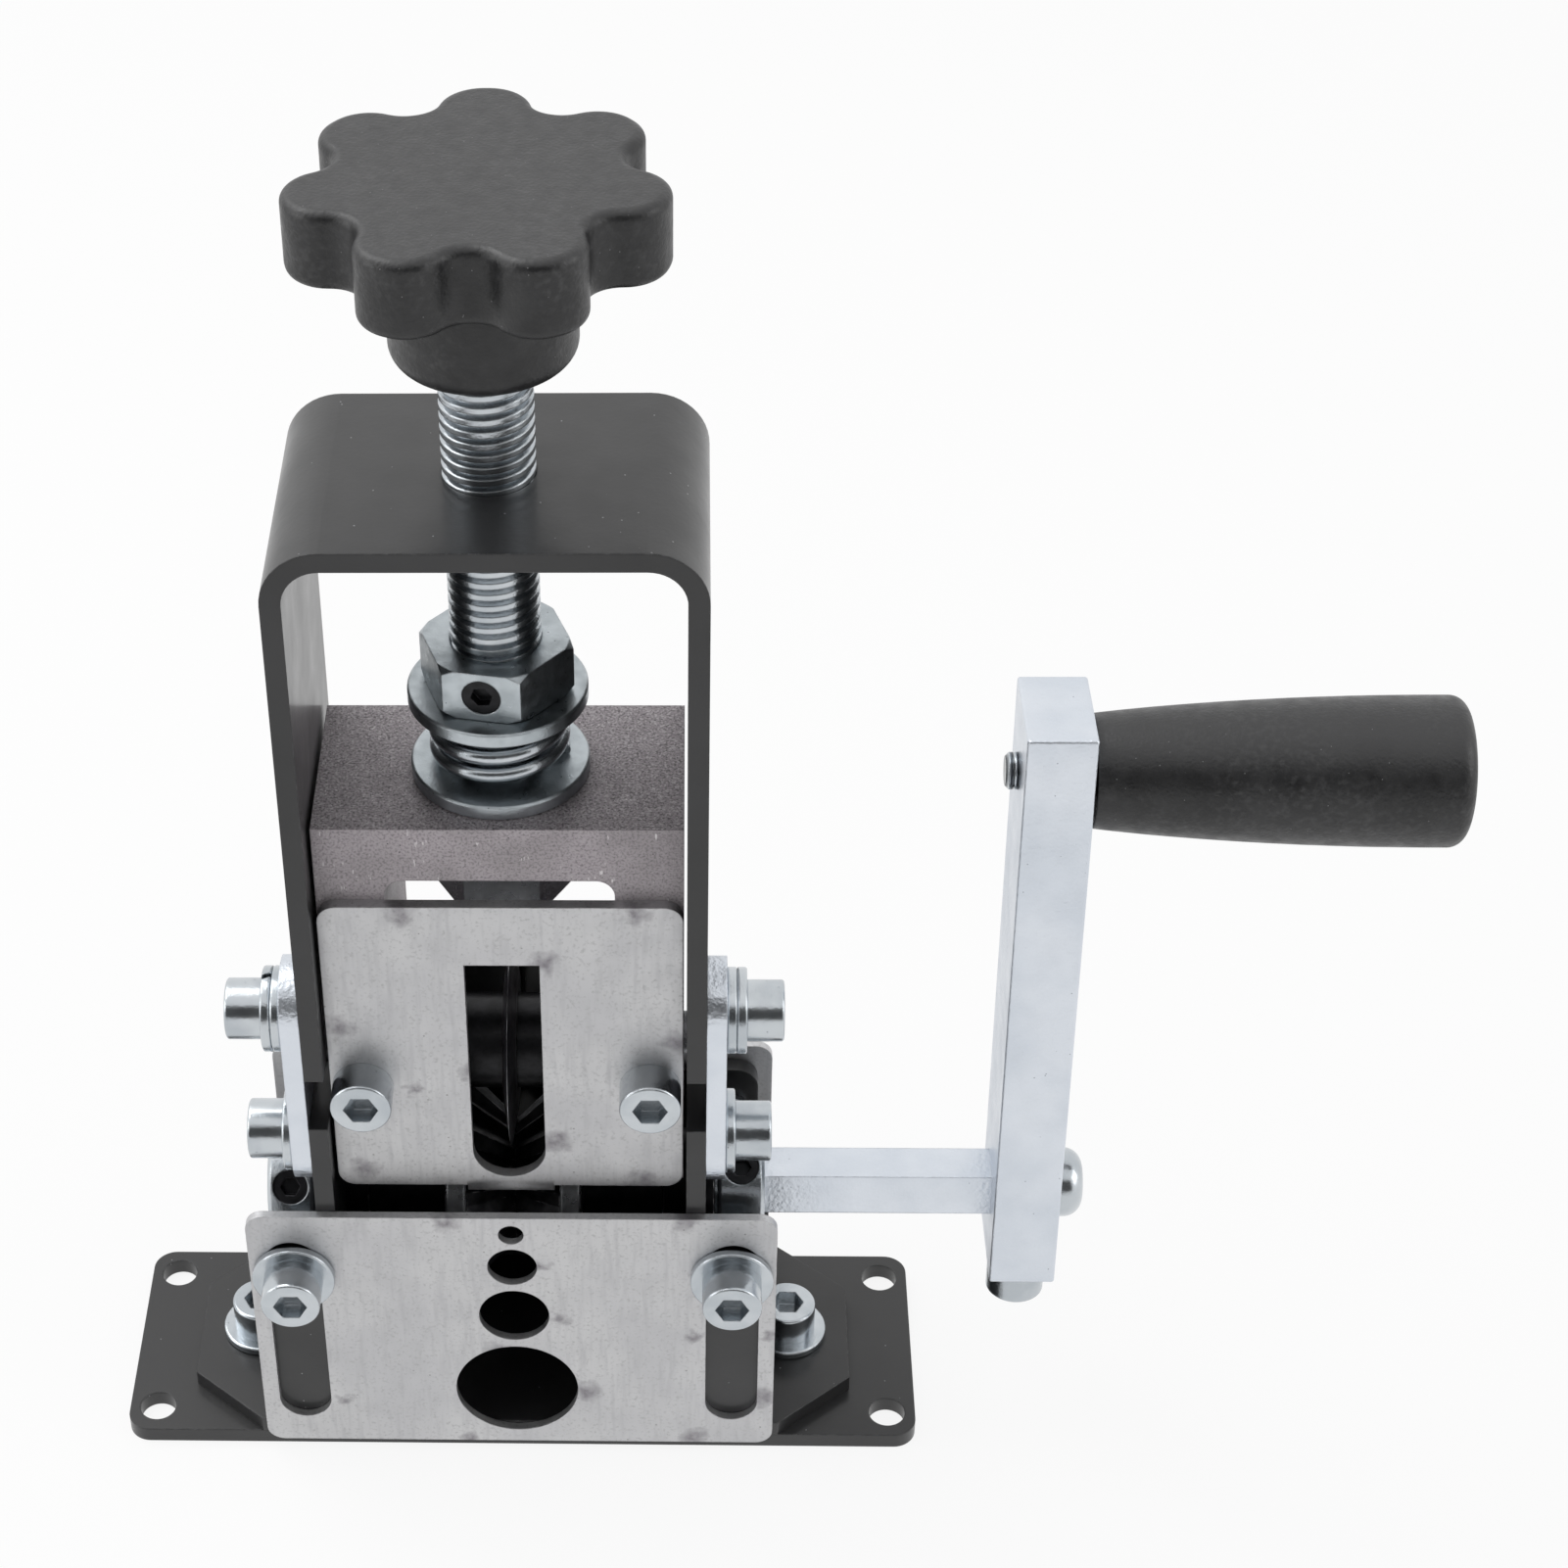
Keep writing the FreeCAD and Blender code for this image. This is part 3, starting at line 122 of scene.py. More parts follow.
class Surface:
    """Node tree of one finish: a Principled shader and patterns in object space."""

    up_start = 0.5
    up_full = 0.9
    torn_detail = 4.0
    bevel_samples = 4
    edge_start = 0.995
    edge_full = 0.9
    edge_breaks = Patches(1.6, 0.5, 0.6, 4.0)

    def __init__(self, name: str, fixed: dict[str, float]) -> None:
        """Starts the material with values that are the same all over it.

        Args:
            name: name of the material.
            fixed: shader values by input name.
        """
        self.material = bpy.data.materials.new(name)
        self.material.use_nodes = True
        self.tree = self.material.node_tree
        self.tree.nodes.clear()
        self.shader = add_node(self.tree, "ShaderNodeBsdfPrincipled", inputs=fixed)
        add_node(self.tree, "ShaderNodeOutputMaterial", inputs={"Surface": self.shader.outputs[0]})
        coords = add_node(self.tree, "ShaderNodeTexCoord")
        self.place = coords.outputs["Object"]
        self.normal = coords.outputs["Normal"]

    def math(self, operation: str, first: object, second: object = 0.0) -> bpy.types.NodeSocket:
        """Combines two values with a math operation."""
        return add_node(self.tree, "ShaderNodeMath", {"operation": operation},
                        {0: first, 1: second}).outputs[0]

    def ranged(self, value: bpy.types.NodeSocket, start: float, end: float,
               low: float = 0.0, high: float = 1.0) -> bpy.types.NodeSocket:
        """Maps start..end to low..high and clamps the rest.

        Args:
            value: what is mapped.
            start: value that gives low.
            end: value that gives high.
            low: result at start.
            high: result at end.

        Returns:
            The mapped value.
        """
        return add_node(self.tree, "ShaderNodeMapRange", {}, {
            "Value": value, "From Min": start, "From Max": end,
            "To Min": low, "To Max": high}).outputs[0]

    def clouds(self, patches: Patches) -> bpy.types.NodeSocket:
        """Makes the mask of a noise pattern, from 0 to 1.

        Args:
            patches: the pattern.

        Returns:
            The mask.
        """
        moved = add_node(self.tree, "ShaderNodeMapping", {}, {
            "Vector": self.place, "Scale": patches.stretch, "Location": (patches.shift,) * 3})
        noise = add_node(self.tree, "ShaderNodeTexNoise", {"noise_dimensions": "3D"}, {
            "Vector": moved.outputs[0], "Scale": 1 / (patches.size_mm * MM),
            "Detail": patches.detail})
        return self.ranged(noise.outputs[0], patches.start, patches.end)

    def both(self, first: object, second: object) -> bpy.types.NodeSocket:
        """Weakens a mask by another mask or by a share."""
        return self.math("MULTIPLY", first, second)

    def torn(self, size_mm: float, reach_mm: float) -> bpy.types.NodeSocket:
        """Gives places pushed about by noise, so that what is drawn from them looks ragged.

        Args:
            size_mm: size of the noise.
            reach_mm: how far it pushes in all.

        Returns:
            The moved places.
        """
        noise = add_node(self.tree, "ShaderNodeTexNoise", {"noise_dimensions": "3D"}, {
            "Vector": self.place, "Scale": 1 / (size_mm * MM), "Detail": self.torn_detail})
        centred = add_node(self.tree, "ShaderNodeVectorMath", {"operation": "SUBTRACT"},
                           {0: noise.outputs["Color"], 1: (0.5, 0.5, 0.5)})
        return add_node(self.tree, "ShaderNodeVectorMath", {"operation": "MULTIPLY_ADD"}, {
            0: centred.outputs[0], 1: (reach_mm * MM,) * 3, 2: self.place}).outputs[0]

    def facing_up(self, share: float) -> bpy.types.NodeSocket:
        """Marks faces that look up, by a share."""
        rise = add_node(self.tree, "ShaderNodeSeparateXYZ", {}, {0: self.normal}).outputs[2]
        return self.ranged(rise, self.up_start, self.up_full, 0.0, share)

    def specks(self, spacing_mm: float, dot_mm: float, share: float) -> bpy.types.NodeSocket:
        """Scatters small dots; share of the cells hold one.

        Args:
            spacing_mm: size of a cell.
            dot_mm: width of a dot.
            share: part of the cells that hold a dot.

        Returns:
            Mask that is 1 on the dots.
        """
        cells = add_node(self.tree, "ShaderNodeTexVoronoi", {}, {
            "Vector": self.place, "Scale": 1 / (spacing_mm * MM)})
        near = self.math("LESS_THAN", cells.outputs["Distance"], dot_mm / spacing_mm / 2)
        chance = add_node(self.tree, "ShaderNodeSeparateColor", {}, {
            0: cells.outputs["Color"]}).outputs[0]
        return self.both(near, self.math("LESS_THAN", chance, share))

    def edges(self, width_mm: float) -> bpy.types.NodeSocket:
        """Marks what lies within a width of an outer or inner edge, broken up by noise.

        Args:
            width_mm: how far from an edge the mark reaches.

        Returns:
            Mask that is 1 at the edges.
        """
        rounded = add_node(self.tree, "ShaderNodeBevel", {"samples": self.bevel_samples},
                           {"Radius": width_mm * MM})
        flat = add_node(self.tree, "ShaderNodeNewGeometry").outputs["Normal"]
        same = add_node(self.tree, "ShaderNodeVectorMath", {"operation": "DOT_PRODUCT"},
                        {0: rounded.outputs[0], 1: flat}).outputs["Value"]
        return self.both(self.ranged(same, self.edge_start, self.edge_full),
                         self.clouds(self.edge_breaks))

    def paint(self, base: str, layers: list[tuple[bpy.types.NodeSocket, str]]) -> None:
        """Lays tints over a base colour, each where its mask is 1.

        Args:
            base: hex colour below all tints.
            layers: masks with their hex tints, lowest first.
        """
        mixed: object = linear(base)
        for mask, tint in layers:
            mixed = add_node(self.tree, "ShaderNodeMix", {"data_type": "RGBA"},
                             {0: mask, 6: mixed, 7: linear(tint)}).outputs[2]
        self.tree.links.new(mixed, self.shader.inputs["Base Color"])

    def relief(self, height: bpy.types.NodeSocket, depth_mm: float, edge_mm: float) -> None:
        """Raises the surface by a height pattern, over edges eased by a radius.

        Args:
            height: pattern from 0 to 1.
            depth_mm: height that 1 stands for.
            edge_mm: radius of the eased edges.
        """
        eased = add_node(self.tree, "ShaderNodeBevel", {"samples": self.bevel_samples},
                         {"Radius": edge_mm * MM})
        bump = add_node(self.tree, "ShaderNodeBump", {}, {
            "Strength": 1.0, "Distance": depth_mm * MM, "Height": height,
            "Normal": eased.outputs[0]})
        self.tree.links.new(bump.outputs[0], self.shader.inputs["Normal"])


@dataclass(frozen=True)
class Finish:
    """What every finish has: cloudy tints, specks, worn edges, gloss and a fine grain; some add a
    painted top light on faces that look up, and on the roller the edge tint is a painted highlight.
    """

    name: str = "finish"
    base: str = "#808080"
    cloud: str = "#707070"
    cloud_mm: float = 12.0
    speck: str = "#909090"
    speck_spacing_mm: float = 4.0
    speck_mm: float = 0.3
    speck_share: float = 0.3
    # Edge tint: real edge wear on most finishes, a painted highlight on the roller's crests.
    worn_and_lit_edge: str = "#a0a0a0"
    worn_and_lit_edge_mm: float = 0.25
    top: str = ""
    top_share: float = 0.8
    coat: float = 0.0
    coat_rough: float = 0.2
    metallic: float = 0.0
    rough_low: float = 0.35
    rough_high: float = 0.45
    grain_mm: float = 0.8
    grain_stretch: tuple[float, float, float] = (1.0, 1.0, 1.0)
    grain_depth_mm: float = 0.01
    edge_mm: float = 0.3

    def layers(self, surface: Surface) -> list[tuple[bpy.types.NodeSocket, str]]:
        """Tints in the order they lie on each other.

        Args:
            surface: node tree of the finish.

        Returns:
            Masks with their hex tints.
        """
        # Faces that look up get the top tint: painted top light, for how the light from above falls
        # on them.
        rubbed_and_painted_top_light = [(surface.facing_up(self.top_share), self.top)] if self.top else []
        dots = surface.specks(self.speck_spacing_mm, self.speck_mm, self.speck_share)
        return [(surface.clouds(Patches(self.cloud_mm)), self.cloud), *rubbed_and_painted_top_light,
                (dots, self.speck), (surface.edges(self.worn_and_lit_edge_mm), self.worn_and_lit_edge)]

    def height(self, surface: Surface) -> bpy.types.NodeSocket:
        """Height pattern of the grain."""
        return surface.clouds(Patches(self.grain_mm, 0.3, 0.7, 2.0, self.grain_stretch))

    def build(self) -> bpy.types.Material:
        """Makes the material.

        Returns:
            The finished material.
        """
        surface = Surface(self.name, {"Metallic": self.metallic, "Coat Weight": self.coat,
                                      "Coat Roughness": self.coat_rough})
        surface.paint(self.base, self.layers(surface))
        smears = surface.clouds(Patches(self.cloud_mm / 3, 0.3, 0.7, shift=0.4))
        gloss = surface.ranged(smears, 0.0, 1.0, self.rough_low, self.rough_high)
        surface.tree.links.new(gloss, surface.shader.inputs["Roughness"])
        surface.relief(self.height(surface), self.grain_depth_mm, self.edge_mm)
        return surface.material


@dataclass(frozen=True)
class PowderCoat(Finish):
    """Satin black powder coat: near black with a faint orange peel, dust, rubbed edges and a
    painted top light on faces that look up.
    """

    name: str = "powder_coat"
    base: str = "#131314"
    cloud: str = "#19191b"
    cloud_mm: float = 28.0
    speck: str = "#8c8c8e"
    speck_spacing_mm: float = 2.4
    speck_mm: float = 0.26
    speck_share: float = 0.35
    worn_and_lit_edge: str = "#4c4c4e"
    worn_and_lit_edge_mm: float = 0.3
    # painted top light: faces that look up are drawn a little paler
    top: str = "#1e1e1f"
    coat: float = 0.4
    coat_rough: float = 0.18
    rough_low: float = 0.36
    rough_high: float = 0.48
    grain_mm: float = 0.9
    grain_depth_mm: float = 0.008
    edge_mm: float = 0.45


@dataclass(frozen=True)
class ZincPlate(Finish):
    """Bright zinc plate on steel: bluish silver, cloudy, with pinholes and fine handling marks."""

    name: str = "zinc_plate"
    base: str = "#c6cbcf"
    cloud: str = "#b6bcc1"
    cloud_mm: float = 9.0
    speck: str = "#6f7276"
    speck_spacing_mm: float = 1.5
    speck_mm: float = 0.22
    speck_share: float = 0.3
    worn_and_lit_edge: str = "#e2e5e8"
    worn_and_lit_edge_mm: float = 0.2
    metallic: float = 1.0
    rough_low: float = 0.17
    rough_high: float = 0.27
    grain_mm: float = 0.5
    grain_depth_mm: float = 0.01
    edge_mm: float = 0.35


@dataclass(frozen=True)
class TumbledZinc(ZincPlate):
    """Zinc plate on tumbled nuts and washers: greyer and more matt than the bright screws."""

    name: str = "tumbled_zinc"
    base: str = "#bcc3c7"
    cloud: str = "#a9b0b4"
    cloud_mm: float = 5.0
    speck: str = "#5f6266"
    speck_share: float = 0.4
    rough_low: float = 0.27
    rough_high: float = 0.4
    grain_mm: float = 0.4
    grain_depth_mm: float = 0.014


@dataclass(frozen=True)
class RolledThread(ZincPlate):
    """Zinc plated M6 thread along the X axis: bright crests, with painted shade darkening the
    grooves.
    """

    name: str = "rolled_thread"
    pitch_mm: float = 1.0
    # painted shade: colour laid into the grooves between the crests
    groove_shade_tint: str = "#585c60"
    groove_start: float = 0.45
    groove_full: float = 0.1
    grain_depth_mm: float = 0.3
    edge_mm: float = 0.1

    def height(self, surface: Surface) -> bpy.types.NodeSocket:
        """Crests and grooves, one of each in a pitch.

        Args:
            surface: node tree of the finish.

        Returns:
            Height from 0 in the grooves to 1 on the crests.
        """
        along = add_node(surface.tree, "ShaderNodeSeparateXYZ", {}, {0: surface.place}).outputs[0]
        turn = surface.math("MULTIPLY", along, math.tau / (self.pitch_mm * MM))
        return surface.ranged(surface.math("SINE", turn), -1.0, 1.0)

    def layers(self, surface: Surface) -> list[tuple[bpy.types.NodeSocket, str]]:
        """Paints shade into the grooves."""
        # painted shade: the grooves are drawn darker, following the crest pattern
        low = surface.ranged(self.height(surface), self.groove_start, self.groove_full)
        return super().layers(surface) + [(low, self.groove_shade_tint)]


@dataclass(frozen=True)
class ZincOnBar(ZincPlate):
    """Zinc plate over drawn bar: the mill surface underneath leaves it lumpier and duller."""

    name: str = "zinc_on_bar"
    base: str = "#dbe0e7"
    cloud: str = "#d2d8e0"
    cloud_mm: float = 14.0
    speck: str = "#8d9299"
    speck_spacing_mm: float = 1.8
    speck_share: float = 0.4
    worn_and_lit_edge: str = "#9ba1a9"
    rough_low: float = 0.28
    rough_high: float = 0.4
    grain_mm: float = 0.8
    grain_depth_mm: float = 0.05


@dataclass(frozen=True)
class Stain:
    """Brown-violet heat mark left where a laser started or a tab was parted."""

    x: float
    z: float
    radius: float = 3.0
    depth: float = 0.7


@dataclass(frozen=True)
class CutSheet(Finish):
    """Laser cut sheet steel: pale matt grey, faintly brushed upright, with heat marks."""

    name: str = "cut_sheet"
    base: str = "#cacacb"
    cloud: str = "#c3c3c5"
    cloud_mm: float = 14.0
    speck: str = "#9c9b9b"
    speck_spacing_mm: float = 2.6
    speck_mm: float = 0.36
    speck_share: float = 0.35
    worn_and_lit_edge: str = "#8f8f8f"
    worn_and_lit_edge_mm: float = 0.2
    metallic: float = 1.0
    rough_low: float = 0.42
    rough_high: float = 0.52
    grain_mm: float = 0.5
    grain_depth_mm: float = 0.005
    edge_mm: float = 0.25
    face_y: float = 0.0
    heat: str = "#5a525c"
    pepper: str = "#b4b4b5"
    brushed: str = "#bababc"
    peppering: Patches = Patches(0.6, 0.54, 0.72, 4.0, shift=0.3)
    brushing: Patches = Patches(0.9, 0.5, 0.8, 3.0, (1.0, 1.0, 0.1), 0.8)
    tear_mm: float = 2.6
    tear_reach_mm: float = 5.5
    stains: tuple[Stain, ...] = ()

    def layers(self, surface: Surface) -> list[tuple[bpy.types.NodeSocket, str]]:
        """Adds the heat marks over the sheet's own tints.

        Args:
            surface: node tree of the finish.

        Returns:
            Masks with their hex tints.
        """
        found = super().layers(surface)
        found.append((surface.clouds(self.peppering), self.pepper))
        found.append((surface.clouds(self.brushing), self.brushed))
        ragged = surface.torn(self.tear_mm, self.tear_reach_mm)
        for stain in self.stains:
            away = add_node(surface.tree, "ShaderNodeVectorMath", {"operation": "DISTANCE"}, {
                0: ragged,
                1: (stain.x * MM, self.face_y * MM, stain.z * MM)}).outputs["Value"]
            found.append((surface.ranged(away, stain.radius * MM, 0.0, 0.0, stain.depth),
                          self.heat))
        return found


@dataclass(frozen=True)
class MilledSteel(Finish):
    """Bare milled steel gone dull: mauve grey, salt and pepper on top, with bright nicks; faces
    that look up are drawn a little darker as painted top shade.
    """

    name: str = "milled_steel"
    base: str = "#aea7ab"
    cloud: str = "#a09a9d"
    cloud_mm: float = 9.0
    speck: str = "#3c393c"
    speck_spacing_mm: float = 1.7
    speck_mm: float = 0.24
    speck_share: float = 0.22
    worn_and_lit_edge: str = "#6a666a"
    # painted top shade: faces that look up are drawn a little darker
    top: str = "#9f989c"
    metallic: float = 0.45
    rough_low: float = 0.46
    rough_high: float = 0.58
    grain_mm: float = 0.35
    grain_depth_mm: float = 0.02
    edge_mm: float = 0.25
    pepper: str = "#6c676a"
    top_pepper: str = "#575356"
    top_salt: str = "#c4bfc2"
    nick: str = "#d8d4d6"
    grain: Patches = Patches(0.42, 0.46, 0.7, 4.0, shift=0.7)
    grain_share: float = 0.75
    top_dark: Patches = Patches(0.45, 0.52, 0.64, shift=1.3)
    top_pale: Patches = Patches(0.4, 0.52, 0.64, shift=2.1)
    nicks: Patches = Patches(0.5, 0.66, 0.7, 2.0, (1.0, 1.0, 0.3), 0.9)
    nicked: Patches = Patches(6.0, 0.52, 0.6, 2.0, shift=0.1)

    def layers(self, surface: Surface) -> list[tuple[bpy.types.NodeSocket, str]]:
        """Adds salt and pepper grain, and short bright nicks.

        Args:
            surface: node tree of the finish.

        Returns:
            Masks with their hex tints.
        """
        up = surface.facing_up(self.top_share)
        return super().layers(surface) + [
            (surface.both(surface.clouds(self.grain), self.grain_share), self.pepper),
            (surface.both(surface.clouds(self.top_dark), up), self.top_pepper),
            (surface.both(surface.clouds(self.top_pale), up), self.top_salt),
            (surface.both(surface.clouds(self.nicks), surface.clouds(self.nicked)), self.nick)]


@dataclass(frozen=True)
class TurnedSteel(Finish):
    """Bright turned steel: rings left by the tool run round the X axis."""

    name: str = "turned_steel"
    base: str = "#a9abae"
    cloud: str = "#939598"
    cloud_mm: float = 5.0
    speck: str = "#6c6d70"
    worn_and_lit_edge: str = "#c4c6c8"
    metallic: float = 1.0
    rough_low: float = 0.24
    rough_high: float = 0.36
    grain_mm: float = 0.25
    grain_stretch: tuple[float, float, float] = (1.0, 0.03, 0.03)
    grain_depth_mm: float = 0.008


@dataclass(frozen=True)
class GroundBlade(TurnedSteel):
    """Hardened blade steel, ground: darker, with a satin sheen."""

    name: str = "ground_blade"
    base: str = "#9c9c9f"
    cloud: str = "#848487"
    rough_low: float = 0.3
    rough_high: float = 0.42
    grain_depth_mm: float = 0.004


@dataclass(frozen=True)
class RollerSteel(Finish):
    """Hardened, blackened roller steel: oily black, with a painted highlight drawing the tooth
    crests' edges pale for their lit facets.
    """

    name: str = "roller_steel"
    base: str = "#3a3a3c"
    cloud: str = "#232325"
    cloud_mm: float = 3.0
    speck: str = "#8a8a8c"
    # painted highlight: the edge tint draws the tooth crests pale for their lit facets
    worn_and_lit_edge: str = "#9a9a9c"
    worn_and_lit_edge_mm: float = 0.3
    metallic: float = 1.0
    rough_low: float = 0.34
    rough_high: float = 0.5


@dataclass(frozen=True)
class MouldedPlastic(Finish):
    """Black moulded plastic: matt and grainy, scuffed paler where hands rub it, with a painted top
    light on faces that look up.
    """

    name: str = "moulded_plastic"
    base: str = "#1b1b1c"
    cloud: str = "#262627"
    cloud_mm: float = 7.0
    speck: str = "#6a6a6b"
    speck_spacing_mm: float = 1.3
    speck_mm: float = 0.2
    speck_share: float = 0.3
    worn_and_lit_edge: str = "#3d3d3e"
    worn_and_lit_edge_mm: float = 0.8
    # painted top light: faces that look up are drawn paler
    top: str = "#3b3b3c"
    top_share: float = 0.75
    rough_low: float = 0.34
    rough_high: float = 0.5
    grain_mm: float = 0.6
    grain_depth_mm: float = 0.03
    edge_mm: float = 0.5
    scuff: str = "#4c4c4d"
    scuffs: Patches = Patches(1.1, 0.48, 0.72, 4.0, shift=0.6)
    scuffed: Patches = Patches(16.0, 0.36, 0.6, 2.0, shift=0.2)
    scuff_share: float = 0.45

    def layers(self, surface: Surface) -> list[tuple[bpy.types.NodeSocket, str]]:
        """Adds scuffed patches."""
        rubbed_and_painted_top_light = surface.both(surface.clouds(self.scuffs), surface.clouds(self.scuffed))
        return super().layers(surface) + [(surface.both(rubbed_and_painted_top_light, self.scuff_share), self.scuff)]


@dataclass(frozen=True)
class BlackOxide(Finish):
    """Oiled black oxide on small screws and clips."""

    name: str = "black_oxide"
    base: str = "#18181a"
    cloud: str = "#242427"
    cloud_mm: float = 2.0
    speck: str = "#3a3a3d"
    worn_and_lit_edge: str = "#505054"
    metallic: float = 0.6
    rough_low: float = 0.3
    rough_high: float = 0.42


@dataclass(frozen=True)
class SinteredIron(Finish):
    """Oil-soaked sintered iron of the bushes: dark grey and full of pores."""

    name: str = "sintered_iron"
    base: str = "#343436"
    cloud: str = "#28282a"
    cloud_mm: float = 3.0
    speck: str = "#121213"
    speck_spacing_mm: float = 0.8
    speck_mm: float = 0.2
    metallic: float = 1.0
    rough_low: float = 0.4
    rough_high: float = 0.52


def dress(material: bpy.types.Material, nodes: tuple[str, ...]) -> None:
    """Gives CAD nodes a finish through their objects' material slots.

    Args:
        material: the finish.
        nodes: names of the CAD nodes.
    """
    for name in nodes:
        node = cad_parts[name]
        if not node.material_slots:
            node.data.materials.append(material)
        for place in node.material_slots:
            place.material = material
        LOG.info("%s: %s", name, material.name)


def as_piece(bm: bmesh.types.BMesh, name: str, body: Body, material: bpy.types.Material,
             stands_for: tuple[str, ...] = (), sharp_deg: float = 38.0
             ) -> bpy.types.Object:
    """Turns a finished bmesh into a piece that rides on a body.

    Args:
        bm: the shape, in metres, in the row frame; it is freed.
        name: name of the piece.
        body: body that it rides on.
        material: its finish.
        stands_for: CAD nodes that it replaces.
        sharp_deg: edges that turn more than this stay sharp.

    Returns:
        The piece.
    """
    bmesh.ops.recalc_face_normals(bm, faces=bm.faces)
    mesh = bpy.data.meshes.new(name)
    bm.to_mesh(mesh)
    bm.free()
    mesh.shade_smooth()
    mesh.set_sharp_from_angle(angle=math.radians(sharp_deg))
    mesh.materials.append(material)
    piece = bpy.data.objects.new(name, mesh)
    bpy.context.scene.collection.objects.link(piece)
    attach(piece, body.value)
    if stands_for:
        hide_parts(*stands_for)
    LOG.info("%s: %d faces", name, len(mesh.polygons))
    return piece


@dataclass(frozen=True)
class Thread:
    """Rolled outside thread on a rod along Z, with chamfered ends."""

    major_r: float
    pitch: float
    depth: float
    low: float
    high: float
    end_chamfer: float = 1.0
    segments: int = 40
    crest_start: float = 0.3
    crest_end: float = 0.78
    root_end: float = 0.1
    merge_share: float = 0.002
    trim_mm: float = 0.001

    def cut(self) -> bmesh.types.BMesh:
        """Sweeps one turn's profile up the rod, trims both ends and closes them.

        Returns:
            The threaded rod in metres.
        """
        bm = bmesh.new()
        root = self.major_r - self.depth
        start = self.low - self.pitch
        steps_along = ((root, 0.0), (root, self.root_end), (self.major_r, self.crest_start),
                       (self.major_r, self.crest_end), (root, 1.0))
        verts = [bm.verts.new((r * MM, 0, (start + along * self.pitch) * MM))
                 for r, along in steps_along]
        edges = [bm.edges.new(ends) for ends in zip(verts, verts[1:])]
        turns = math.ceil((self.high - start) / self.pitch) + 1
        bmesh.ops.spin(bm, geom=verts + edges, cent=(0, 0, 0), axis=(0, 0, 1),
                       dvec=(0, 0, self.pitch * MM / self.segments),
                       angle=math.tau * turns, steps=self.segments * turns, use_merge=False)
        bmesh.ops.remove_doubles(bm, verts=bm.verts, dist=self.pitch * self.merge_share * MM)
        for level, outward in ((self.low, -1), (self.high, 1)):
            trimmed = bmesh.ops.bisect_plane(
                bm, geom=bm.verts[:] + bm.edges[:] + bm.faces[:], dist=self.trim_mm * MM,
                plane_co=(0, 0, level * MM), plane_no=(0, 0, outward), clear_outer=True)
            rim = [e for e in trimmed["geom_cut"] if isinstance(e, bmesh.types.BMEdge)]
            bmesh.ops.edgeloop_fill(bm, edges=rim)
        self.ease_ends(bm)
        return bm

    def ease_ends(self, bm: bmesh.types.BMesh) -> None:
        """Pulls the crests in towards both ends at 45 degrees.

        Args:
            bm: the rod, in metres.
        """
        for vert in bm.verts:
            inset = min(vert.co.z / MM - self.low, self.high - vert.co.z / MM)
            limit = (self.major_r - self.end_chamfer + inset) * MM
            radius = math.hypot(vert.co.x, vert.co.y)
            if radius > limit:
                vert.co.x *= limit / radius
                vert.co.y *= limit / radius


@dataclass
class Palette:
    """Every finish, built once."""

    coat: bpy.types.Material = field(default_factory=lambda: PowderCoat().build())
    zinc: bpy.types.Material = field(default_factory=lambda: ZincPlate().build())
    zinc_bar: bpy.types.Material = field(default_factory=lambda: ZincOnBar().build())
    tumbled: bpy.types.Material = field(default_factory=lambda: TumbledZinc().build())
    rolled: bpy.types.Material = field(default_factory=lambda: RolledThread().build())
    milled: bpy.types.Material = field(default_factory=lambda: MilledSteel().build())
    turned: bpy.types.Material = field(default_factory=lambda: TurnedSteel().build())
    blade: bpy.types.Material = field(default_factory=lambda: GroundBlade().build())
    roller: bpy.types.Material = field(default_factory=lambda: RollerSteel().build())
    plastic: bpy.types.Material = field(default_factory=lambda: MouldedPlastic().build())
    oxide: bpy.types.Material = field(default_factory=lambda: BlackOxide().build())
    iron: bpy.types.Material = field(default_factory=lambda: SinteredIron().build())


@dataclass
class BaseAndFrame:
    """Base plate, lower bracket, upright frame, its straps and the screws that hold them."""

    def dress(self, finishes: Palette) -> None:
        """Paints the sheet parts and plates the fasteners.

        Args:
            finishes: every finish of the tool.
        """
        dress(finishes.coat, ("base_plate", "lower_bracket", "u_frame"))
        dress(finishes.zinc_bar, ("left_strap", "right_strap"))
        dress(finishes.zinc, ("base_screws", "base_washers", "strap_upper_screws",
                              "strap_flat_washers", "strap_lock_washers",
                              "strap_lower_screws", "strap_lower_washers"))


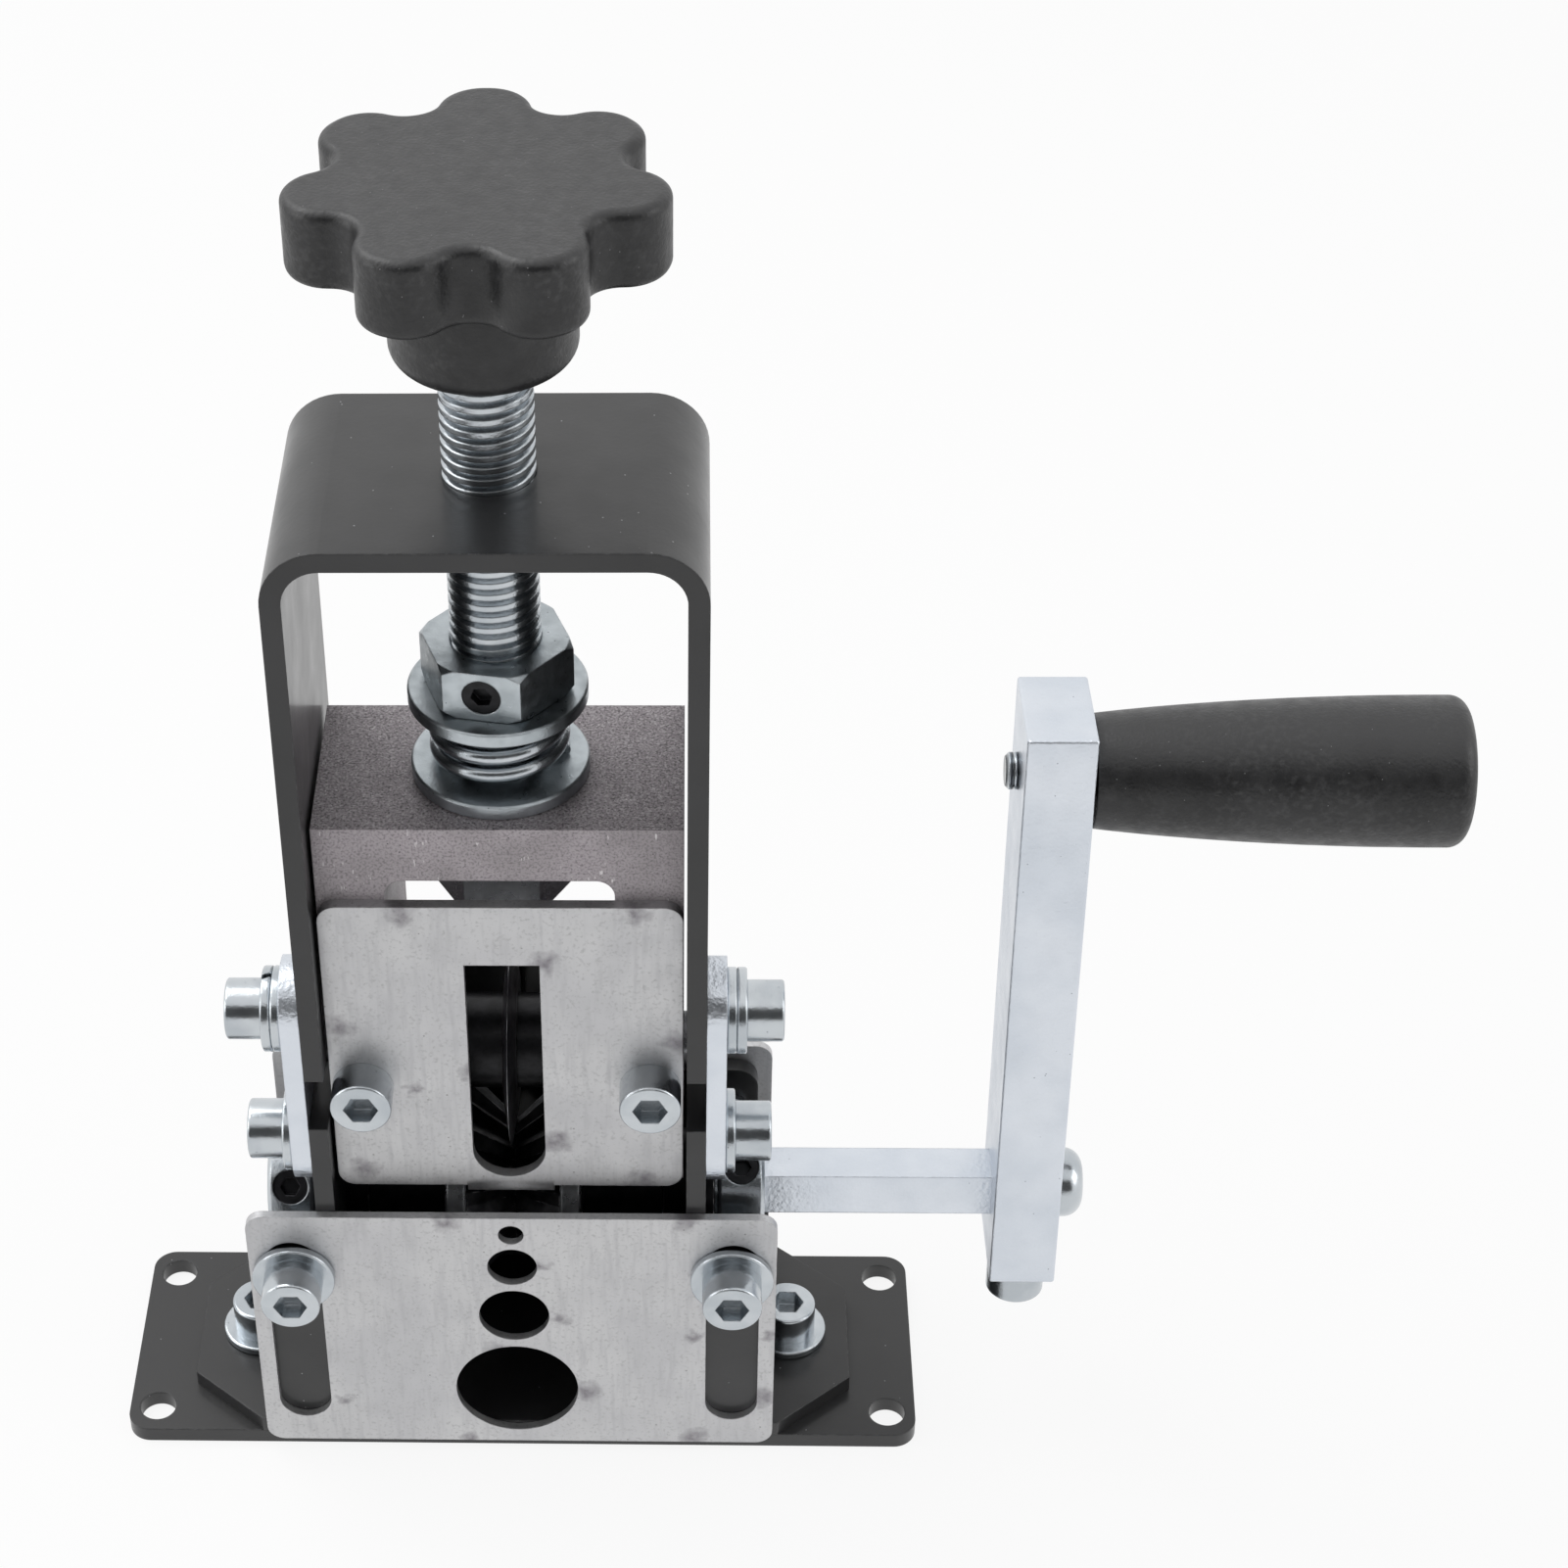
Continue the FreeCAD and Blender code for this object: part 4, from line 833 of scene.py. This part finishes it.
@dataclass
class WireGuides:
    """Slotted guide plates in front and behind, and their screws."""

    front_face_y: float = -23.55
    rear_face_y: float = 23.55
    front_stains: tuple[Stain, ...] = (
        Stain(-10.5, 56.8), Stain(29.5, 57.0), Stain(4.6, 46.0, 2.0), Stain(7.4, 33.8, 2.2),
        Stain(12.2, 15.6), Stain(-30.2, 12.8, 2.0), Stain(42.8, 14.2), Stain(43.6, 29.6, 2.0),
        Stain(30.6, 29.6, 1.8), Stain(30.8, 3.4), Stain(-8.8, 3.0, 2.0), Stain(-3.4, 25.8, 2.6))
    rear_stains: tuple[Stain, ...] = (
        Stain(10.5, 54.6), Stain(-29.5, 54.8), Stain(-5.0, 44.0, 2.0), Stain(12.0, 13.0))

    def dress(self, finishes: Palette) -> None:
        """Gives each plate its own heat marks.

        Args:
            finishes: every finish of the tool.
        """
        dress(CutSheet(name="front_guide_sheet", face_y=self.front_face_y,
                       stains=self.front_stains).build(), ("front_guide_plate",))
        dress(CutSheet(name="rear_guide_sheet", face_y=self.rear_face_y,
                       stains=self.rear_stains).build(), ("rear_guide_plate",))
        dress(finishes.zinc, ("front_guide_screws", "front_guide_washers",
                              "rear_guide_screws", "rear_guide_washers"))


@dataclass
class FeedRoller:
    """Shaft, grooved roller, sleeves, bushes and collars."""

    def dress(self, finishes: Palette) -> None:
        """Finishes what turns in the frame.

        Args:
            finishes: every finish of the tool.
        """
        dress(finishes.iron, ("left_bush", "right_bush"))
        dress(finishes.roller, ("left_feed_cone", "right_feed_cone"))
        dress(finishes.turned, ("roller_key", "left_roller_flange", "right_roller_flange"))
        dress(finishes.zinc, ("left_thrust_washer", "right_thrust_washer",
                              "left_collar", "right_collar"))
        dress(finishes.oxide, ("roller_sleeves",))
        dress(finishes.zinc_bar, ("drive_shaft",))
        dress(finishes.oxide, ("left_collar_set_screw", "right_collar_set_screw"))


@dataclass
class Crank:
    """Arm, its screws, and the grip on its spindle."""

    def dress(self, finishes: Palette) -> None:
        """Finishes the crank.

        Args:
            finishes: every finish of the tool.
        """
        dress(finishes.zinc_bar, ("crank_arm",))
        dress(finishes.zinc, ("shaft_end_screw", "arm_clamp_screw"))
        dress(finishes.rolled, ("grip_spindle",))
        dress(finishes.plastic, ("grip",))


@dataclass
class BladeCarriage:
    """Carriage block, blade, axle, the slotted cover and the rear cover."""

    cover_face_y: float = -18.2
    cover_stains: tuple[Stain, ...] = (
        Stain(-15.3, 119.2), Stain(21.3, 119.2), Stain(6.8, 109.0, 2.8), Stain(-6.2, 86.0, 2.2),
        Stain(-26.6, 95.6), Stain(28.0, 92.6), Stain(-15.4, 81.8, 1.8), Stain(8.0, 70.6),
        Stain(-24.4, 63.8), Stain(22.2, 61.2))

    def dress(self, finishes: Palette) -> None:
        """Finishes the carriage and all it carries.

        Args:
            finishes: every finish of the tool.
        """
        dress(finishes.milled, ("carriage",))
        dress(finishes.blade, ("blade",))
        dress(finishes.turned, ("blade_axle",))
        dress(finishes.coat, ("rear_cover",))
        dress(finishes.oxide, ("blade_spacers", "axle_clips"))
        dress(finishes.zinc, ("cover_screws", "rear_cover_screws"))
        dress(finishes.tumbled, ("lower_washer",))
        dress(CutSheet(name="cover_sheet", face_y=self.cover_face_y,
                       stains=self.cover_stains).build(), ("blade_cover",))


@dataclass
class PressureScrew:
    """Threaded screw with its nuts, washers, spring and knob."""

    thread: Thread = Thread(major_r=7.0, pitch=2.0, depth=0.95, low=110.0, high=232.3)

    def dress(self, finishes: Palette) -> None:
        """Finishes the CAD nodes and cuts the real thread.

        Args:
            finishes: every finish of the tool.
        """
        dress(finishes.zinc, ("spring",))
        dress(finishes.tumbled, ("upper_washer", "upper_nut"))
        dress(finishes.turned, ("lower_nut", "knob_insert"))
        dress(finishes.oxide, ("nut_set_screw",))
        dress(finishes.plastic, ("star_knob",))
        as_piece(self.thread.cut(), "threaded_screw", Body.KNOB, finishes.zinc,
                 ("pressure_screw",))


@dataclass(frozen=True)
class Lamp:
    """Square soft lamp: its place and size in metres, and its power in watts."""

    name: str
    at: tuple[float, float, float]
    size: float
    watts: float


@dataclass
class Studio:
    """Pale floor, soft lamps and the camera, in metres."""

    floor_size: float = 8.0
    floor_drop: float = 0.00005
    floor_colour: str = "#f4f4f4"
    floor_glow: float = 0.88
    sky_light: float = 0.55
    camera_at: tuple[float, float, float] = (0.0289, -0.41863, 0.45099)
    yaw_deg: float = -2.833
    pitch_deg: float = 39.634
    roll_deg: float = -1.640
    focal_mm: float = 76.75
    sensor_mm: float = 36.0
    shift_x: float = 0.1445
    shift_y: float = 0.0833
    near: float = 0.01
    far: float = 50.0
    card_size: tuple[float, float, float] = (3.0, 1.5, 1.0)
    card_at: tuple[float, float, float] = (0.0, -1.4, 0.95)
    card_colour: str = "#3c3c3c"
    lamps: tuple[Lamp, ...] = (Lamp("key", (-0.5, 0.25, 1.0), 0.7, 4.5),
                               Lamp("left", (-1.1, -0.3, 0.5), 0.6, 2.6),
                               Lamp("right", (1.1, -0.2, 0.6), 0.6, 2.2))
    lamps_aim: tuple[float, float, float] = (0.0, 0.0, 0.1)

    def camera(self) -> None:
        """Sets the camera from its place, yaw, pitch and roll."""
        yaw, pitch, roll = (math.radians(a) for a in (self.yaw_deg, self.pitch_deg, self.roll_deg))
        ahead = Vector((math.sin(yaw) * math.cos(pitch), math.cos(yaw) * math.cos(pitch),
                        -math.sin(pitch)))
        level = Vector((math.cos(yaw), -math.sin(yaw), 0))
        above = level.cross(ahead)
        right = level * math.cos(roll) + above * math.sin(roll)
        top = above * math.cos(roll) - level * math.sin(roll)
        data = bpy.data.cameras.new("camera")
        data.lens = self.focal_mm
        data.sensor_width = self.sensor_mm
        data.shift_x = self.shift_x
        data.shift_y = self.shift_y
        data.clip_start = self.near
        data.clip_end = self.far
        camera = bpy.data.objects.new("camera", data)
        turn = Matrix((right, top, -ahead)).transposed().to_4x4()
        camera.matrix_world = Matrix.Translation(self.camera_at) @ turn
        bpy.context.scene.collection.objects.link(camera)
        bpy.context.scene.camera = camera

    def floor(self) -> None:
        """Lays a white floor that keeps a soft shadow."""
        bm = bmesh.new()
        bmesh.ops.create_grid(bm, x_segments=1, y_segments=1, size=self.floor_size / 2)
        bmesh.ops.translate(bm, verts=bm.verts, vec=(0, 0, -self.floor_drop))
        mesh = bpy.data.meshes.new("floor")
        bm.to_mesh(mesh)
        bm.free()
        material = bpy.data.materials.new("floor_paper")
        material.use_nodes = True
        tree = material.node_tree
        tree.nodes.clear()
        paper = add_node(tree, "ShaderNodeBsdfDiffuse", {}, {"Color": linear(self.floor_colour)})
        glow = add_node(tree, "ShaderNodeEmission", {}, {"Color": (1, 1, 1, 1), "Strength": 1.0})
        share = add_node(tree, "ShaderNodeMath", {"operation": "MULTIPLY"}, {
            0: self.seen_rays(tree), 1: self.floor_glow})
        mixed = add_node(tree, "ShaderNodeMixShader", {}, {
            0: share.outputs[0], 1: paper.outputs[0], 2: glow.outputs[0]})
        add_node(tree, "ShaderNodeOutputMaterial", {}, {"Surface": mixed.outputs[0]})
        mesh.materials.append(material)
        floor = bpy.data.objects.new("floor", mesh)
        bpy.context.scene.collection.objects.link(floor)

    def dark_card(self) -> None:
        """Stands a dark card round the camera, which only reflections show."""
        bm = bmesh.new()
        bmesh.ops.create_grid(bm, x_segments=1, y_segments=1, size=0.5)
        bmesh.ops.scale(bm, verts=bm.verts, vec=self.card_size)
        bmesh.ops.rotate(bm, verts=bm.verts, cent=(0, 0, 0),
                         matrix=Matrix.Rotation(math.radians(90), 3, "X"))
        bmesh.ops.translate(bm, verts=bm.verts, vec=self.card_at)
        mesh = bpy.data.meshes.new("dark_card")
        bm.to_mesh(mesh)
        bm.free()
        material = bpy.data.materials.new("card_black")
        material.use_nodes = True
        shader = material.node_tree.nodes["Principled BSDF"]
        shader.inputs["Base Color"].default_value = linear(self.card_colour)
        mesh.materials.append(material)
        card = bpy.data.objects.new("dark_card", mesh)
        card.visible_camera = False
        card.visible_diffuse = False
        card.visible_transmission = False
        card.visible_shadow = False
        bpy.context.scene.collection.objects.link(card)

    def seen_rays(self, tree: bpy.types.NodeTree) -> bpy.types.NodeSocket:
        """Is 1 for rays from the camera and for those that metal or glass throws on.

        Args:
            tree: node tree that gets the nodes.

        Returns:
            The value that is 1 for those rays.
        """
        path = add_node(tree, "ShaderNodeLightPath")
        seen = path.outputs["Is Camera Ray"]
        for name in ("Is Glossy Ray", "Is Transmission Ray"):
            seen = add_node(tree, "ShaderNodeMath", {"operation": "MAXIMUM"},
                            {0: seen, 1: path.outputs[name]}).outputs[0]
        return seen

    def world(self) -> None:
        """White surroundings for the eye and for gloss, and a dimmer sky light."""
        world = bpy.data.worlds.new("studio")
        world.use_nodes = True
        tree = world.node_tree
        tree.nodes.clear()
        sky = add_node(tree, "ShaderNodeBackground", {}, {
            "Color": (1, 1, 1, 1), "Strength": self.sky_light})
        white = add_node(tree, "ShaderNodeBackground", {}, {"Color": (1, 1, 1, 1), "Strength": 1.0})
        mixed = add_node(tree, "ShaderNodeMixShader", {}, {
            0: self.seen_rays(tree), 1: sky.outputs[0], 2: white.outputs[0]})
        add_node(tree, "ShaderNodeOutputWorld", {}, {"Surface": mixed.outputs[0]})
        bpy.context.scene.world = world

    def hang(self, lamp: Lamp) -> None:
        """Hangs a lamp and turns it to the middle of the object.

        Args:
            lamp: the lamp to hang.
        """
        data = bpy.data.lights.new(lamp.name, "AREA")
        data.size = lamp.size
        data.energy = lamp.watts
        hung = bpy.data.objects.new(lamp.name, data)
        hung.location = lamp.at
        beam = Vector(self.lamps_aim) - Vector(lamp.at)
        hung.rotation_euler = beam.to_track_quat("-Z", "Y").to_euler()
        bpy.context.scene.collection.objects.link(hung)

    def build(self) -> None:
        """Sets up the whole studio."""
        self.camera()
        self.floor()
        self.dark_card()
        self.world()
        for lamp in self.lamps:
            self.hang(lamp)
        bpy.context.scene.view_settings.view_transform = "Standard"
        LOG.info("studio ready")


def main() -> None:
    """Builds the studio and dresses every sub-assembly in order."""
    logging.basicConfig(level=logging.INFO, format="%(message)s")
    Studio().build()
    finishes = Palette()
    for part in (BaseAndFrame(), WireGuides(), FeedRoller(), Crank(), BladeCarriage(),
                 PressureScrew()):
        part.dress(finishes)
        LOG.info("%s done", type(part).__name__)


if __name__ == "__main__":
    main()
